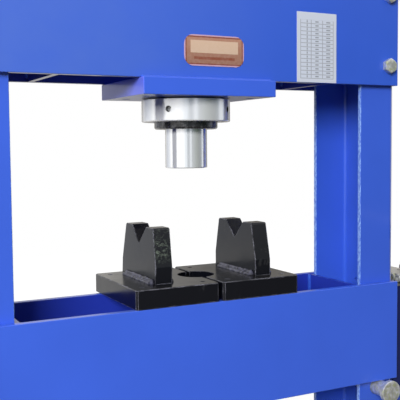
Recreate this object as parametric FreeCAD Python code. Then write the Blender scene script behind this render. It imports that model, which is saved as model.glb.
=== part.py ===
"""Bench-built workshop hydraulic press: an H-frame with a hand pump.

Frame: X to the right, Y to the back, Z up, millimetres. The origin is on the floor, midway between the
two posts and midway between the front and back beams. The cylinder's axis is the Z axis.
"""
import FreeCAD, Part
import math
import os

# ---------------------------------------------------------------- driving dimensions
GAP = 800.0              # clear width between the posts
POST_FLANGE = 100.0      # width of a post's front and back walls
POST_DEPTH = 182.0       # front to back over a post
POST_WALL = 10.0
POST_OUTER_RADIUS = 15.0
POST_INNER_RADIUS = 8.0
POST_TOP = 1700.0

BED_TOP = 990.0          # top edges of the bed's two beams, bed in its highest place
DAYLIGHT = 457.0         # from the bed's top edge to the top beams' bottom edge
BEAM_WALL = 16.0
BED_HEIGHT = 230.0
TOP_BEAM_HEIGHT = 250.0
EDGE = 1.5               # broken edge of heavy plate
SPACER_X = 312.0         # cross plates between the top beams
SPACER_WALL = 12.0

FOOT_WIDTH = 180.0
FOOT_LENGTH = 720.0
FOOT_WALL = 15.0
ANCHOR_SPACING_Y = 660.0
ANCHOR_RADIUS = 9.0
GUSSET_HEIGHT = 195.0
GUSSET_REACH = 190.0
GUSSET_WALL = 12.0
TIE_LEG = 60.0
TIE_WALL = 6.0
TIE_BOTTOM = 225.0

PIN_RADIUS = 18.0
PIN_HOLE_RADIUS = 19.0
PIN_PITCH = 130.0        # steps of the bed's height
PIN_PLACES = 4
PIN_OVERHANG = 44.0      # pin beyond the post's walls, under the bed's beams and past them

BOLT_X = 466.0           # the beam bolts, near the posts' outer corners
BOLT_RISE = 44.0         # lower bolt above the top beam's bottom edge
BOLT_SPACING = 159.0
BOLT_RADIUS = 10.0
BOLT_FLATS = 30.0
BOLT_HEAD = 12.5
NUT_HEIGHT = 16.0
WASHER_RADIUS = 18.5
WASHER_WALL = 3.0

MOUNT_WIDTH = 300.0      # plate under the top beams that the cylinder hangs from
MOUNT_FRONT = -124.0
MOUNT_BACK = 111.0
MOUNT_WALL = 34.0
MOUNT_HOLE_X = 120.0
MOUNT_HOLE_MIDDLE = -11.0
MOUNT_HOLE_Y = 55.0
MOUNT_HOLE_RADIUS = 9.0
MOUNT_BORE_RADIUS = 75.5

BORE_RADIUS = 60.0       # cylinder
BARREL_RADIUS = 82.5
THREAD_RADIUS = 75.0
RAM_RADIUS = 45.0
RAM_BOTTOM = 181.5       # below the top beams' bottom edge, as in the photo
RAM_OUT = 65.0           # how far the ram is out at rest
STROKE = 200.0
PISTON_LENGTH = 40.0
SPRING_CLOSED = 130.0    # the return spring with the ram right out
RING_RADIUS = 95.0
RING_TOP = 36.4          # below the top beams' bottom edge
RING_BOTTOM = 83.5
SPANNER_HOLE_RADIUS = 6.5
SPANNER_HOLE_DEPTH = 14.0
SPANNER_HOLE_RISE = 25.0 # above the ring's bottom
SPANNER_HOLE_ANGLES = (-138.0, -48.0, 42.0, 132.0)
GLAND_RADIUS = 68.0
GLAND_BOTTOM = 98.8
GLAND_SPIGOT_TOP = 28.0
RUNNING = 0.05           # radial clearance of every sliding fit

PRESS_PLATE_WALL = 40.0  # black loose plates on the bed
PRESS_PLATE_FRONT = -108.5
PRESS_PLATE_BACK = 130.5
LEFT_PLATE_X = (-165.0, 21.5)
RIGHT_PLATE_X = (30.5, 217.0)
PLATE_HOLE_RADIUS = 40.5
PLATE_HOLE_X = 26.0
TAPPED_RADIUS = 5.1      # tapping size of M12
TAPPED_DEPTH = 25.0
TAPPED_INSET_X = 25.0
TAPPED_INSET_Y = 30.0

BLADE_WALL = 38.5        # upright V-blocks
BLADE_HEIGHT = 113.5
BLADE_FOOT = 182.0
BLADE_CREST = 146.0
BLADE_STRAIGHT = 34.0
BLADE_CORNER = 5.0
NOTCH = 38.0             # depth and half-width of the right-angled V
LEFT_BLADE = (-105.7, 26.0, 4.0)   # left face in X, middle in Y, how far the crest leans to the right
RIGHT_BLADE = (128.2, 17.5, 0.0)
BEAD = 12.0              # leg of the blades' weld beads

PUMP_X = 632.0           # plane that the pump's lever moves in
BLOCK_X = (540.0, 668.0)
BLOCK_Y = (-78.0, 60.0)
BLOCK_STEP = -14.0       # back of the block's head; an arm and a pad reach on behind it
BLOCK_Z = (977.0, 998.0)
TANK_X = (516.0, 690.0)
TANK_Y = (-75.0, 190.0)
TANK_WALL = 3.0
LID_WALL = 5.0
SHELF_WALL = 8.0
TANK_HEIGHT = 252.0
PLUNGER_RADIUS = 8.0
PLUNGER_Y = -54.0
ARM = 40.0               # pivot to plunger line, level
LEVER_SWING = 50.0       # degrees, half below level and half above, for the plunger's arm
LEVER_TILT = 5.0         # handle above level at rest
PIVOT_Z = 1071.0
PIVOT_PIN_RADIUS = 6.0
PLUNGER_PIN_RADIUS = 5.0
HANDLE_RADIUS = 16.5
HANDLE_WALL = 3.0
HANDLE_END = 640.0
GRIP_LENGTH = 130.0

PIPE_RADIUS = 5.0
PIPE_BORE = 3.0
PIPE_Y = 30.0
PIPE_X = 552.0           # pump outlet
PIPE_POST_X = 512.0      # beside the right post's outer face
PIPE_TOP_Z = 1722.0
PIPE_BEND = 36.0

GAUGE_RADIUS = 50.0
GAUGE_DEPTH = 42.0
GAUGE_RISE = 74.0        # middle of the dial above the port block

LABEL_X = (-55.0, 82.0)
LABEL_RISE = 26.0
LABEL_HEIGHT = 62.0
LABEL_CORNER = 20.0
CHART_X = (214.0, 318.0)
CHART_RISE = 1.0
CHART_HEIGHT = 150.0
CHART_CORNER = 1.0
SIGN_WALL = 1.0

# ---------------------------------------------------------------- places worked out from them
POST_INNER_X = GAP / 2
POST_OUTER_X = POST_INNER_X + POST_FLANGE
POST_MIDDLE_X = POST_INNER_X + POST_FLANGE / 2
POST_Y = POST_DEPTH / 2
TOP_BEAM_BOTTOM = BED_TOP + DAYLIGHT
TOP_BEAM_TOP = TOP_BEAM_BOTTOM + TOP_BEAM_HEIGHT
TOP_BEAM_Y = POST_Y + BEAM_WALL
TOP_BEAM_END = POST_OUTER_X - 5
BED_SLACK = 1.0
BED_INNER_Y = POST_Y + BED_SLACK
BED_Y = BED_INNER_Y + BEAM_WALL
BED_BOTTOM = BED_TOP - BED_HEIGHT
PIN_Z = BED_BOTTOM - PIN_RADIUS
PLATE_TOP = BED_TOP + PRESS_PLATE_WALL
GLAND_TOP_Z = TOP_BEAM_BOTTOM - GLAND_SPIGOT_TOP
SPRING_SPACE = STROKE - RAM_OUT + SPRING_CLOSED  # between gland and piston at rest
PISTON_BOTTOM_Z = GLAND_TOP_Z + SPRING_SPACE
PISTON_TOP_Z = PISTON_BOTTOM_Z + PISTON_LENGTH
BARREL_TOP_Z = PISTON_TOP_Z + RAM_OUT + 15
CAP_TOP_Z = BARREL_TOP_Z + 28
PIVOT_Y = PLUNGER_Y + ARM
PLUNGER_PIN_Z = PIVOT_Z - ARM * math.tan(math.radians(LEVER_SWING / 2))
SHELF_TOP = BLOCK_Z[0] - LID_WALL - TANK_HEIGHT
PORT_Z = CAP_TOP_Z + 22

V = FreeCAD.Vector
UP = V(0, 0, 1)
ALONG_X = V(1, 0, 0)
ALONG_Y = V(0, 1, 0)


# ---------------------------------------------------------------- shapes that repeat
def box(x, y, z, edge=0.0):
    """Block between the two values in each of x, y and z, all edges rounded by edge."""
    solid = Part.makeBox(x[1] - x[0], y[1] - y[0], z[1] - z[0], V(x[0], y[0], z[0]))
    if edge:
        return solid.makeFillet(edge, solid.Edges)
    return solid


def rod(radius, start, axis, length):
    return Part.makeCylinder(radius, length, start, axis)


def unit(vector):
    return vector * (1 / vector.Length)


def rounded_wire(corners, radii):
    """Closed wire through the corners, each rounded by its radius; 0 leaves it sharp."""
    starts = []
    ends = []
    arcs = []
    for index, corner in enumerate(corners):
        radius = radii[index]
        back = unit(corners[index - 1] - corner)
        onward = unit(corners[(index + 1) % len(corners)] - corner)
        if radius == 0:
            starts.append(corner)
            ends.append(corner)
            arcs.append(None)
            continue
        half = back.getAngle(onward) / 2
        middle = unit(back + onward)
        centre = corner + middle * (radius / math.sin(half))
        starts.append(corner + back * (radius / math.tan(half)))
        ends.append(corner + onward * (radius / math.tan(half)))
        arcs.append(Part.Arc(starts[-1], centre - middle * radius, ends[-1]).toShape())
    edges = []
    for index, arc in enumerate(arcs):
        if arc is not None:
            edges.append(arc)
        following = starts[(index + 1) % len(corners)]
        if (following - ends[index]).Length > 1e-6:
            edges.append(Part.makeLine(ends[index], following))
    return Part.Wire(edges)


def prism(corners, travel, radii=None):
    """Flat outline, with its corners rounded, pushed along travel."""
    radii = radii or [0.0] * len(corners)
    return Part.Face(rounded_wire(corners, radii)).extrude(travel)


def turned(profile, radii=None, centre=V(0, 0, 0)):
    """Solid turned about a vertical line through centre from points of (radius, height)."""
    corners = [V(r, 0, z) for r, z in profile]
    radii = radii or [0.0] * len(corners)
    solid = Part.Face(rounded_wire(corners, radii)).revolve(V(0, 0, 0), UP, 360)
    return solid.translate(centre)


def aimed(solid, start, axis):
    """Move a solid made about +Z at the origin so that it starts at start and points along axis."""
    turn = FreeCAD.Rotation(UP, axis)
    solid.Placement = FreeCAD.Placement(start, turn)
    return solid


def hexagon(flats, height, start, axis, chamfer=1.5, turn=0.0):
    """Hexagonal head or nut body with its outer face's corners taken off."""
    reach = flats / math.sqrt(3)
    angles = [math.radians(60 * step + turn) for step in range(6)]
    body = prism([V(reach * math.cos(a), reach * math.sin(a), 0) for a in angles], UP * height)
    if chamfer == 0:
        return aimed(body, start, axis)
    slope = chamfer * 1.6
    envelope = turned([(0, 0), (reach, 0), (reach, height - chamfer), (reach - slope, height), (0, height)])
    return aimed(body.common(envelope), start, axis)


def hole_through(solid, radius, start, axis, length):
    return solid.cut(rod(radius, start, axis, length))


def mirrored_x(solid):
    return solid.mirror(V(0, 0, 0), ALONG_X)


# ---------------------------------------------------------------- frame
def post_right():
    """Channel that opens towards the middle, with rows of holes for the bed's pins."""
    x0, x1 = POST_INNER_X, POST_OUTER_X
    y = POST_Y
    inner = y - POST_WALL
    web = x1 - POST_WALL
    corners = [V(x0, -y, 0), V(x1, -y, 0), V(x1, y, 0), V(x0, y, 0),
               V(x0, inner, 0), V(web, inner, 0), V(web, -inner, 0), V(x0, -inner, 0)]
    lip = 1.5
    radii = [lip, POST_OUTER_RADIUS, POST_OUTER_RADIUS, lip, lip, POST_INNER_RADIUS, POST_INNER_RADIUS, lip]
    corners = [corner + UP * FOOT_WALL for corner in corners]
    post = prism(corners, UP * (POST_TOP - FOOT_WALL), radii)
    for place in range(PIN_PLACES):
        start = V(POST_MIDDLE_X, -y - 1, PIN_Z - place * PIN_PITCH)
        post = hole_through(post, PIN_HOLE_RADIUS, start, ALONG_Y, 2 * y + 2)
    for rise in (BOLT_RISE, BOLT_RISE + BOLT_SPACING):
        start = V(BOLT_X, -y - 1, TOP_BEAM_BOTTOM + rise)
        post = hole_through(post, BOLT_RADIUS + 0.5, start, ALONG_Y, 2 * y + 2)
    return post


def drain_hole(post):
    """Small hole in the right post's outer wall, level with the bed's top edge."""
    return hole_through(post, 4.5, V(POST_OUTER_X - 20, 37, BED_TOP - 16), ALONG_X, 30)


def foot_plate_right():
    x = (POST_MIDDLE_X - FOOT_WIDTH / 2, POST_MIDDLE_X + FOOT_WIDTH / 2)
    plate = box(x, (-FOOT_LENGTH / 2, FOOT_LENGTH / 2), (0, FOOT_WALL), EDGE)
    for side in (-1, 1):
        start = V(POST_MIDDLE_X, side * ANCHOR_SPACING_Y / 2, -1)
        plate = hole_through(plate, ANCHOR_RADIUS, start, UP, FOOT_WALL + 2)
    return plate


def foot_gussets():
    """Triangular stays in front of and behind each post."""
    stays = []
    nose = 20.0
    for side in (-1, 1):
        for x in (-POST_MIDDLE_X, POST_MIDDLE_X):
            near = side * POST_Y
            far = side * (POST_Y + GUSSET_REACH)
            left = x - GUSSET_WALL / 2
            corners = [V(left, near, FOOT_WALL), V(left, far, FOOT_WALL), V(left, far, FOOT_WALL + nose),
                       V(left, near + side * nose, FOOT_WALL + GUSSET_HEIGHT),
                       V(left, near, FOOT_WALL + GUSSET_HEIGHT)]
            stays.append(prism(corners, ALONG_X * GUSSET_WALL))
    return Part.makeCompound(stays)


def rear_tie_bar():
    """Angle across the backs of both posts, near the floor."""
    y = POST_Y
    end = POST_OUTER_X - POST_OUTER_RADIUS
    z = TIE_BOTTOM
    corners = [V(-end, y, z), V(-end, y + TIE_LEG, z), V(-end, y + TIE_LEG, z + TIE_WALL),
               V(-end, y + TIE_WALL, z + TIE_WALL), V(-end, y + TIE_WALL, z + TIE_LEG),
               V(-end, y, z + TIE_LEG)]
    return prism(corners, ALONG_X * (2 * end), [0, 2, 2, 5, 2, 0])


def flat_beam(y, z, end):
    return box((-end, end), y, z, EDGE)


def top_beam(front):
    """One of the two flat plates that the posts hang together by."""
    y = (-TOP_BEAM_Y, -POST_Y) if front else (POST_Y, TOP_BEAM_Y)
    beam = flat_beam(y, (TOP_BEAM_BOTTOM, TOP_BEAM_TOP), TOP_BEAM_END)
    for x in (-BOLT_X, BOLT_X):
        for rise in (BOLT_RISE, BOLT_RISE + BOLT_SPACING):
            start = V(x, y[0] - 1, TOP_BEAM_BOTTOM + rise)
            beam = hole_through(beam, BOLT_RADIUS + 0.5, start, ALONG_Y, BEAM_WALL + 2)
    return beam


def top_beam_spacers():
    """Cross plates that keep the top beams apart, one each side of the cylinder."""
    plates = []
    for x in (-SPACER_X, SPACER_X):
        across = (x - SPACER_WALL / 2, x + SPACER_WALL / 2)
        plates.append(box(across, (-POST_Y, POST_Y), (TOP_BEAM_BOTTOM + 0.5, TOP_BEAM_TOP - 2)))
    return Part.makeCompound(plates)


def beam_bolts():
    """Long bolts through both beams and the post between them, heads on the front beam's face."""
    bolts = []
    shank = 2 * TOP_BEAM_Y + WASHER_WALL + NUT_HEIGHT + 6
    for x in (-BOLT_X, BOLT_X):
        for rise in (BOLT_RISE, BOLT_RISE + BOLT_SPACING):
            z = TOP_BEAM_BOTTOM + rise
            face = V(x, -TOP_BEAM_Y, z)
            head = hexagon(BOLT_FLATS, BOLT_HEAD, face, V(0, -1, 0), turn=90)
            bolts.append(head.fuse(rod(BOLT_RADIUS, face, ALONG_Y, shank)))
    return Part.makeCompound(bolts)


def beam_washers():
    """Washers under the nuts, on the back beam."""
    washers = []
    for x in (-BOLT_X, BOLT_X):
        for rise in (BOLT_RISE, BOLT_RISE + BOLT_SPACING):
            start = V(x, TOP_BEAM_Y, TOP_BEAM_BOTTOM + rise)
            disc = rod(WASHER_RADIUS, start, ALONG_Y, WASHER_WALL)
            washers.append(hole_through(disc, BOLT_RADIUS + 0.5, start, ALONG_Y, WASHER_WALL))
    return Part.makeCompound(washers)


def beam_nuts():
    nuts = []
    for x in (-BOLT_X, BOLT_X):
        for rise in (BOLT_RISE, BOLT_RISE + BOLT_SPACING):
            start = V(x, TOP_BEAM_Y + WASHER_WALL, TOP_BEAM_BOTTOM + rise)
            nut = hexagon(BOLT_FLATS, NUT_HEIGHT, start, ALONG_Y, turn=90)
            nuts.append(hole_through(nut, BOLT_RADIUS + 0.1, start, ALONG_Y, NUT_HEIGHT))
    return Part.makeCompound(nuts)


def cylinder_mount_plate():
    half = MOUNT_WIDTH / 2
    z = (TOP_BEAM_BOTTOM - MOUNT_WALL, TOP_BEAM_BOTTOM)
    plate = box((-half, half), (MOUNT_FRONT, MOUNT_BACK), z, EDGE)
    below = TOP_BEAM_BOTTOM - MOUNT_WALL - 1
    plate = hole_through(plate, MOUNT_BORE_RADIUS, V(0, 0, below), UP, MOUNT_WALL + 2)
    for x in (-MOUNT_HOLE_X, MOUNT_HOLE_X):
        for y in (-MOUNT_HOLE_Y, MOUNT_HOLE_Y):
            start = V(x, MOUNT_HOLE_MIDDLE + y, below)
            plate = hole_through(plate, MOUNT_HOLE_RADIUS, start, UP, MOUNT_WALL + 2)
    return plate


def fillet_bead(corner, along, side, rise, leg):
    """Weld bead in an inner corner: a quarter round that runs from corner along the vector."""
    first = corner + side * leg
    second = corner + rise * leg
    bulge = corner + (side + rise) * (leg * 0.62)
    face = Part.Face(Part.Wire([Part.makeLine(corner, first), Part.Arc(first, bulge, second).toShape(),
                                Part.makeLine(second, corner)]))
    return face.extrude(along)


def frame_welds():
    """Beads of the mount plate under the beams and of the bed's cross plates."""
    half = MOUNT_WIDTH / 2 - 4
    beads = [fillet_bead(V(-half, -TOP_BEAM_Y, TOP_BEAM_BOTTOM), ALONG_X * (2 * half), V(0, -1, 0), UP, 9.0),
             fillet_bead(V(-half, TOP_BEAM_Y, TOP_BEAM_BOTTOM), ALONG_X * (2 * half), ALONG_Y, UP, 3.5)]
    inner = POST_INNER_X - 12
    for side in (-1, 1):
        for y, into in ((-BED_INNER_Y, ALONG_Y), (BED_INNER_Y, V(0, -1, 0))):
            start = V(side * inner, y, BED_TOP - 160)
            beads.append(fillet_bead(start, UP * 150, V(-side, 0, 0), into, 7.0))
    return Part.makeCompound(beads)


def bed_beam(front):
    y = (-BED_Y, -BED_INNER_Y) if front else (BED_INNER_Y, BED_Y)
    return flat_beam(y, (BED_BOTTOM, BED_TOP), POST_OUTER_X - 2)


def bed_spacers():
    """End plates between the bed's beams, just inside the posts."""
    plates = []
    for side in (-1, 1):
        x = sorted((side * (POST_INNER_X - 12), side * (POST_INNER_X - 2)))
        plates.append(box(x, (-BED_INNER_Y, BED_INNER_Y), (BED_TOP - 190, BED_TOP - 2.5)))
    return Part.makeCompound(plates)


def bed_pin(side):
    """Plain pin through a post, with a collar at the front and a clip hole at the back."""
    reach = POST_Y + PIN_OVERHANG
    x = side * POST_MIDDLE_X
    shaft = rod(PIN_RADIUS, V(x, -reach, PIN_Z), ALONG_Y, 2 * reach)
    shaft = shaft.makeChamfer(2.0, shaft.Edges[0:1] + shaft.Edges[2:3])
    collar = rod(PIN_RADIUS + 8, V(x, -reach - 10, PIN_Z), ALONG_Y, 12)
    collar = collar.makeFillet(2.0, [edge for edge in collar.Edges if edge.Length > 100])
    pin = shaft.fuse(collar)
    return hole_through(pin, 3.0, V(x, reach - 12, PIN_Z - 30), UP, 60)


def pin_clips():
    """Linch clips: a straight leg through each bed pin and a ring to pull it by."""
    clips = []
    wire = 2.6
    loop = 15.0
    for side in (-1, 1):
        x = side * POST_MIDDLE_X
        y = POST_Y + PIN_OVERHANG - 12
        top = PIN_Z + PIN_RADIUS
        leg = rod(wire, V(x, y, PIN_Z - PIN_RADIUS - 14), UP, 2 * PIN_RADIUS + 22)
        head = rod(5.0, V(x, y, top + 2), UP, 23)
        ring = Part.makeTorus(loop, wire, V(x, y + loop, top + loop + wire + 2), ALONG_X)
        clips.append(leg.fuse([head, ring]))
    return Part.makeCompound(clips)


# ---------------------------------------------------------------- cylinder
def cylinder_barrel():
    foot = TOP_BEAM_BOTTOM - RING_BOTTOM + 5.5
    seat = TOP_BEAM_BOTTOM
    profile = [(BORE_RADIUS, foot), (THREAD_RADIUS, foot), (THREAD_RADIUS, seat), (BARREL_RADIUS, seat),
               (BARREL_RADIUS, BARREL_TOP_Z), (BORE_RADIUS, BARREL_TOP_Z)]
    return turned(profile, [0, 1.5, 0, 0, 2, 0])


def cylinder_cap():
    """Screwed end cap: a spigot in the bore, a flange on the barrel and the port through its middle."""
    spigot = 10.0
    profile = [(4, BARREL_TOP_Z - spigot), (BORE_RADIUS - 0.1, BARREL_TOP_Z - spigot),
               (BORE_RADIUS - 0.1, BARREL_TOP_Z), (BARREL_RADIUS, BARREL_TOP_Z),
               (BARREL_RADIUS, CAP_TOP_Z), (4, CAP_TOP_Z)]
    return turned(profile, [0, 0, 0, 0, 6, 0])


GLAND_GROOVES = ((RAM_RADIUS + 6, 6.0, 12.0), (RAM_RADIUS + 5, 20.0, 50.0), (RAM_RADIUS + 6, 56.0, 62.0))


def gland():
    """Black end bush: a flange under the barrel, a spigot up its bore, grooves for bush and seals."""
    bottom = TOP_BEAM_BOTTOM - GLAND_BOTTOM
    flange = TOP_BEAM_BOTTOM - RING_BOTTOM + 5.5
    inner = RAM_RADIUS + 0.4
    outer = BORE_RADIUS - 0.1
    profile = [(inner, bottom), (GLAND_RADIUS, bottom), (GLAND_RADIUS, flange), (outer, flange),
               (outer, GLAND_TOP_Z), (inner, GLAND_TOP_Z)]
    body = turned(profile, [1.5, 4.5, 0, 0, 0, 0])
    for radius, low, high in GLAND_GROOVES:
        body = body.cut(rod(radius, V(0, 0, bottom + low), UP, high - low))
    return body


def gland_liner(groove, side_gap=0.1):
    """Ring that fills one of the gland's grooves and runs on the ram."""
    radius, low, high = groove
    bottom = TOP_BEAM_BOTTOM - GLAND_BOTTOM
    inner = RAM_RADIUS + RUNNING
    return turned([(inner, bottom + low + side_gap), (radius - 0.1, bottom + low + side_gap),
                   (radius - 0.1, bottom + high - side_gap), (inner, bottom + high - side_gap)])


def lock_ring():
    """Turned ring nut under the mount plate, with radial holes for a hook spanner."""
    top = TOP_BEAM_BOTTOM - MOUNT_WALL
    shoulder = TOP_BEAM_BOTTOM - RING_TOP
    bottom = TOP_BEAM_BOTTOM - RING_BOTTOM
    profile = [(THREAD_RADIUS + 0.1, bottom), (RING_RADIUS, bottom), (RING_RADIUS, shoulder),
               (RING_RADIUS - 8, shoulder), (RING_RADIUS - 8, top), (THREAD_RADIUS + 0.1, top)]
    ring = turned(profile, [1, 3, 1.2, 0, 0, 0])
    middle = bottom + SPANNER_HOLE_RISE
    for angle in SPANNER_HOLE_ANGLES:
        outward = V(math.cos(math.radians(angle)), math.sin(math.radians(angle)), 0)
        start = outward * (RING_RADIUS - SPANNER_HOLE_DEPTH) + UP * middle
        ring = hole_through(ring, SPANNER_HOLE_RADIUS, start, outward, SPANNER_HOLE_DEPTH + 2)
    return ring


def ram():
    """Chromed ram with a stub on top that the piston screws onto."""
    bottom = TOP_BEAM_BOTTOM - RAM_BOTTOM
    stub = 28.0
    profile = [(0, bottom), (RAM_RADIUS, bottom), (RAM_RADIUS, PISTON_BOTTOM_Z), (stub, PISTON_BOTTOM_Z),
               (stub, PISTON_TOP_Z - 4), (0, PISTON_TOP_Z - 4)]
    return turned(profile, [0, 2, 2, 0, 1.5, 0])


PISTON_GROOVES = ((8.0, 15.0), (25.0, 32.0))
PISTON_GROOVE_RADIUS = BORE_RADIUS - 6


def piston():
    outer = BORE_RADIUS - RUNNING
    low, high = PISTON_BOTTOM_Z, PISTON_TOP_Z
    body = turned([(28.1, low), (outer, low), (outer, high), (28.1, high)])
    for start, end in PISTON_GROOVES:
        foot = V(0, 0, PISTON_BOTTOM_Z + start)
        band = rod(BORE_RADIUS + 1, foot, UP, end - start)
        body = body.cut(band.cut(rod(PISTON_GROOVE_RADIUS, foot, UP, 10)))
    return body


def piston_seals():
    rings = []
    for low, high in PISTON_GROOVES:
        z0 = PISTON_BOTTOM_Z + low + 0.1
        z1 = PISTON_BOTTOM_Z + high - 0.1
        rings.append(turned([(PISTON_GROOVE_RADIUS + 0.1, z0), (BORE_RADIUS - RUNNING, z0),
                             (BORE_RADIUS - RUNNING, z1), (PISTON_GROOVE_RADIUS + 0.1, z1)]))
    return Part.makeCompound(rings)


def return_spring():
    """Coil between gland and piston, one unbroken wire round the ram."""
    wire = 4.5
    coil = (BORE_RADIUS + RAM_RADIUS) / 2
    turns = 12
    quarters = turns * 4
    low = GLAND_TOP_Z + wire + 0.5
    climb = SPRING_SPACE - 2 * (wire + 0.5)

    def on_coil(quarter):
        angle = quarter * math.pi / 2
        return V(coil * math.cos(angle), coil * math.sin(angle), low + climb * quarter / quarters)

    arcs = []
    for quarter in range(quarters):
        arcs.append(Part.Arc(on_coil(quarter), on_coil(quarter + 0.5), on_coil(quarter + 1)).toShape())
    heading = arcs[0].tangentAt(arcs[0].FirstParameter)
    section = Part.Wire([Part.makeCircle(wire, on_coil(0), heading)])
    pitch = climb / turns
    print("return spring: pitch", round(pitch, 2), "gap between turns", round(pitch - 2 * wire, 2))
    return Part.Wire(arcs).makePipeShell([section], True, False)


# ---------------------------------------------------------------- loose tooling on the bed
def press_plate(x):
    """Thick loose plate; two of them leave a round hole between their notched edges."""
    y = (PRESS_PLATE_FRONT, PRESS_PLATE_BACK)
    plate = Part.makeBox(x[1] - x[0], y[1] - y[0], PRESS_PLATE_WALL, V(x[0], y[0], BED_TOP))
    upright = [edge for edge in plate.Edges if abs(edge.tangentAt(0).z) > 0.9]
    plate = plate.makeChamfer(4.0, upright)
    rim = [edge for edge in plate.Edges if abs(edge.tangentAt(0).z) < 0.1]
    plate = plate.makeChamfer(1.2, rim)
    middle_y = sum(y) / 2
    centre = V(PLATE_HOLE_X, middle_y, BED_TOP - 1)
    plate = hole_through(plate, PLATE_HOLE_RADIUS, centre, UP, PRESS_PLATE_WALL + 2)
    for px in (x[0] + TAPPED_INSET_X, x[1] - TAPPED_INSET_X):
        for py in (y[0] + TAPPED_INSET_Y, y[1] - TAPPED_INSET_Y):
            start = V(px, py, PLATE_TOP - TAPPED_DEPTH)
            plate = hole_through(plate, TAPPED_RADIUS, start, UP, TAPPED_DEPTH + 1)
    return plate


def v_block(place):
    """Upright blade with sloping shoulders and a right-angled V in its crest."""
    x, y, lean = place
    z = PLATE_TOP
    foot = BLADE_FOOT / 2
    crest = BLADE_CREST / 2
    top = z + BLADE_HEIGHT
    outline = [(-foot, z, 0), (-foot, z + BLADE_STRAIGHT, 8), (-crest, top, BLADE_CORNER),
               (-NOTCH, top, 1.5), (0, top - NOTCH, 1.5), (NOTCH, top, 1.5), (crest, top, BLADE_CORNER),
               (foot, z + BLADE_STRAIGHT, 8), (foot, z, 0)]
    corners = [V(x + lean * (height - z) / BLADE_HEIGHT, y + side, height) for side, height, _ in outline]
    blade = prism(corners, ALONG_X * BLADE_WALL, [radius for _, _, radius in outline])
    faces = [edge for edge in blade.Edges if abs(edge.tangentAt(edge.FirstParameter).x) < 0.1]
    return blade.makeChamfer(1.0, faces)


def v_block_welds():
    """Beads along both sides of each blade's foot."""
    beads = []
    length = BLADE_FOOT - 26
    for x, y, lean in (LEFT_BLADE, RIGHT_BLADE):
        start_y = y - length / 2
        face = unit(V(lean, 0, BLADE_HEIGHT))
        run = ALONG_Y * length
        beads.append(fillet_bead(V(x, start_y, PLATE_TOP), run, V(-1, 0, 0), face, BEAD))
        beads.append(fillet_bead(V(x + BLADE_WALL, start_y, PLATE_TOP), run, ALONG_X, face, BEAD))
    return Part.makeCompound(beads)


# ---------------------------------------------------------------- hand pump
def pump_bracket():
    """Shelf with two ribs, on a back plate against the right post."""
    x0 = POST_OUTER_X
    x1 = TANK_X[1] + 6
    top = SHELF_TOP
    under = top - SHELF_WALL
    back = box((x0, x0 + 8), (-70, 70), (under - 90, BLOCK_Z[0] - 20), 1.0)
    shelf = box((x0 + 4, x1), (TANK_Y[0], TANK_Y[1]), (under, top), 1.0)
    bracket = back.fuse(shelf)
    for y in (-60.0, 52.0):
        corners = [V(x0 + 6, y, under + 1), V(x1 - 12, y, under + 1), V(x1 - 12, y, under - 12),
                   V(x0 + 22, y, under - 84), V(x0 + 6, y, under - 84)]
        bracket = bracket.fuse(prism(corners, ALONG_Y * 8))
    return bracket


def pump_tank():
    """Oil tank: a deep rounded box, open at the top under its lid."""
    z = (SHELF_TOP, SHELF_TOP + TANK_HEIGHT)
    wide, deep = TANK_X[1] - TANK_X[0], TANK_Y[1] - TANK_Y[0]
    outer = Part.makeBox(wide, deep, z[1] - z[0], V(TANK_X[0], TANK_Y[0], z[0]))
    upright = [edge for edge in outer.Edges if abs(edge.tangentAt(0).z) > 0.9]
    outer = outer.makeFillet(14.0, upright)
    lower = [edge for edge in outer.Edges if edge.BoundBox.ZMax < z[0] + 0.1]
    outer = outer.makeFillet(5.0, lower)
    inner = Part.makeBox(wide - 2 * TANK_WALL, deep - 2 * TANK_WALL, TANK_HEIGHT,
                         V(TANK_X[0] + TANK_WALL, TANK_Y[0] + TANK_WALL, z[0] + TANK_WALL))
    upright = [edge for edge in inner.Edges if abs(edge.tangentAt(0).z) > 0.9]
    return outer.cut(inner.makeFillet(11.0, upright))


BOSS_RADIUS = 16.0
FILLER_Y = 140.0


def tank_lid():
    z = (BLOCK_Z[0] - LID_WALL, BLOCK_Z[0])
    wide, deep = TANK_X[1] - TANK_X[0] + 6, TANK_Y[1] - TANK_Y[0] + 6
    lid = Part.makeBox(wide, deep, LID_WALL, V(TANK_X[0] - 3, TANK_Y[0] - 3, z[0]))
    upright = [edge for edge in lid.Edges if abs(edge.tangentAt(0).z) > 0.9]
    lid = lid.makeFillet(16.0, upright)
    lid = hole_through(lid, BOSS_RADIUS + 0.5, V(PUMP_X, PLUNGER_Y, z[0] - 1), UP, LID_WALL + 2)
    return hole_through(lid, 9.0, V(PUMP_X, FILLER_Y, z[0] - 1), UP, LID_WALL + 2)


def tank_filler_cap():
    """Plastic filler plug: stem in the lid, ribbed head above it."""
    base = V(PUMP_X, FILLER_Y, BLOCK_Z[0])
    cap = turned([(0, -16), (8.9, -16), (8.9, 0), (19, 0), (19, 16), (0, 16)], [0, 1, 0, 1.5, 3, 0], base)
    for step in range(12):
        angle = math.radians(step * 30)
        flute = base + V(20 * math.cos(angle), 20 * math.sin(angle), 2)
        cap = cap.cut(rod(2.6, flute, UP, 20))
    return cap


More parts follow.
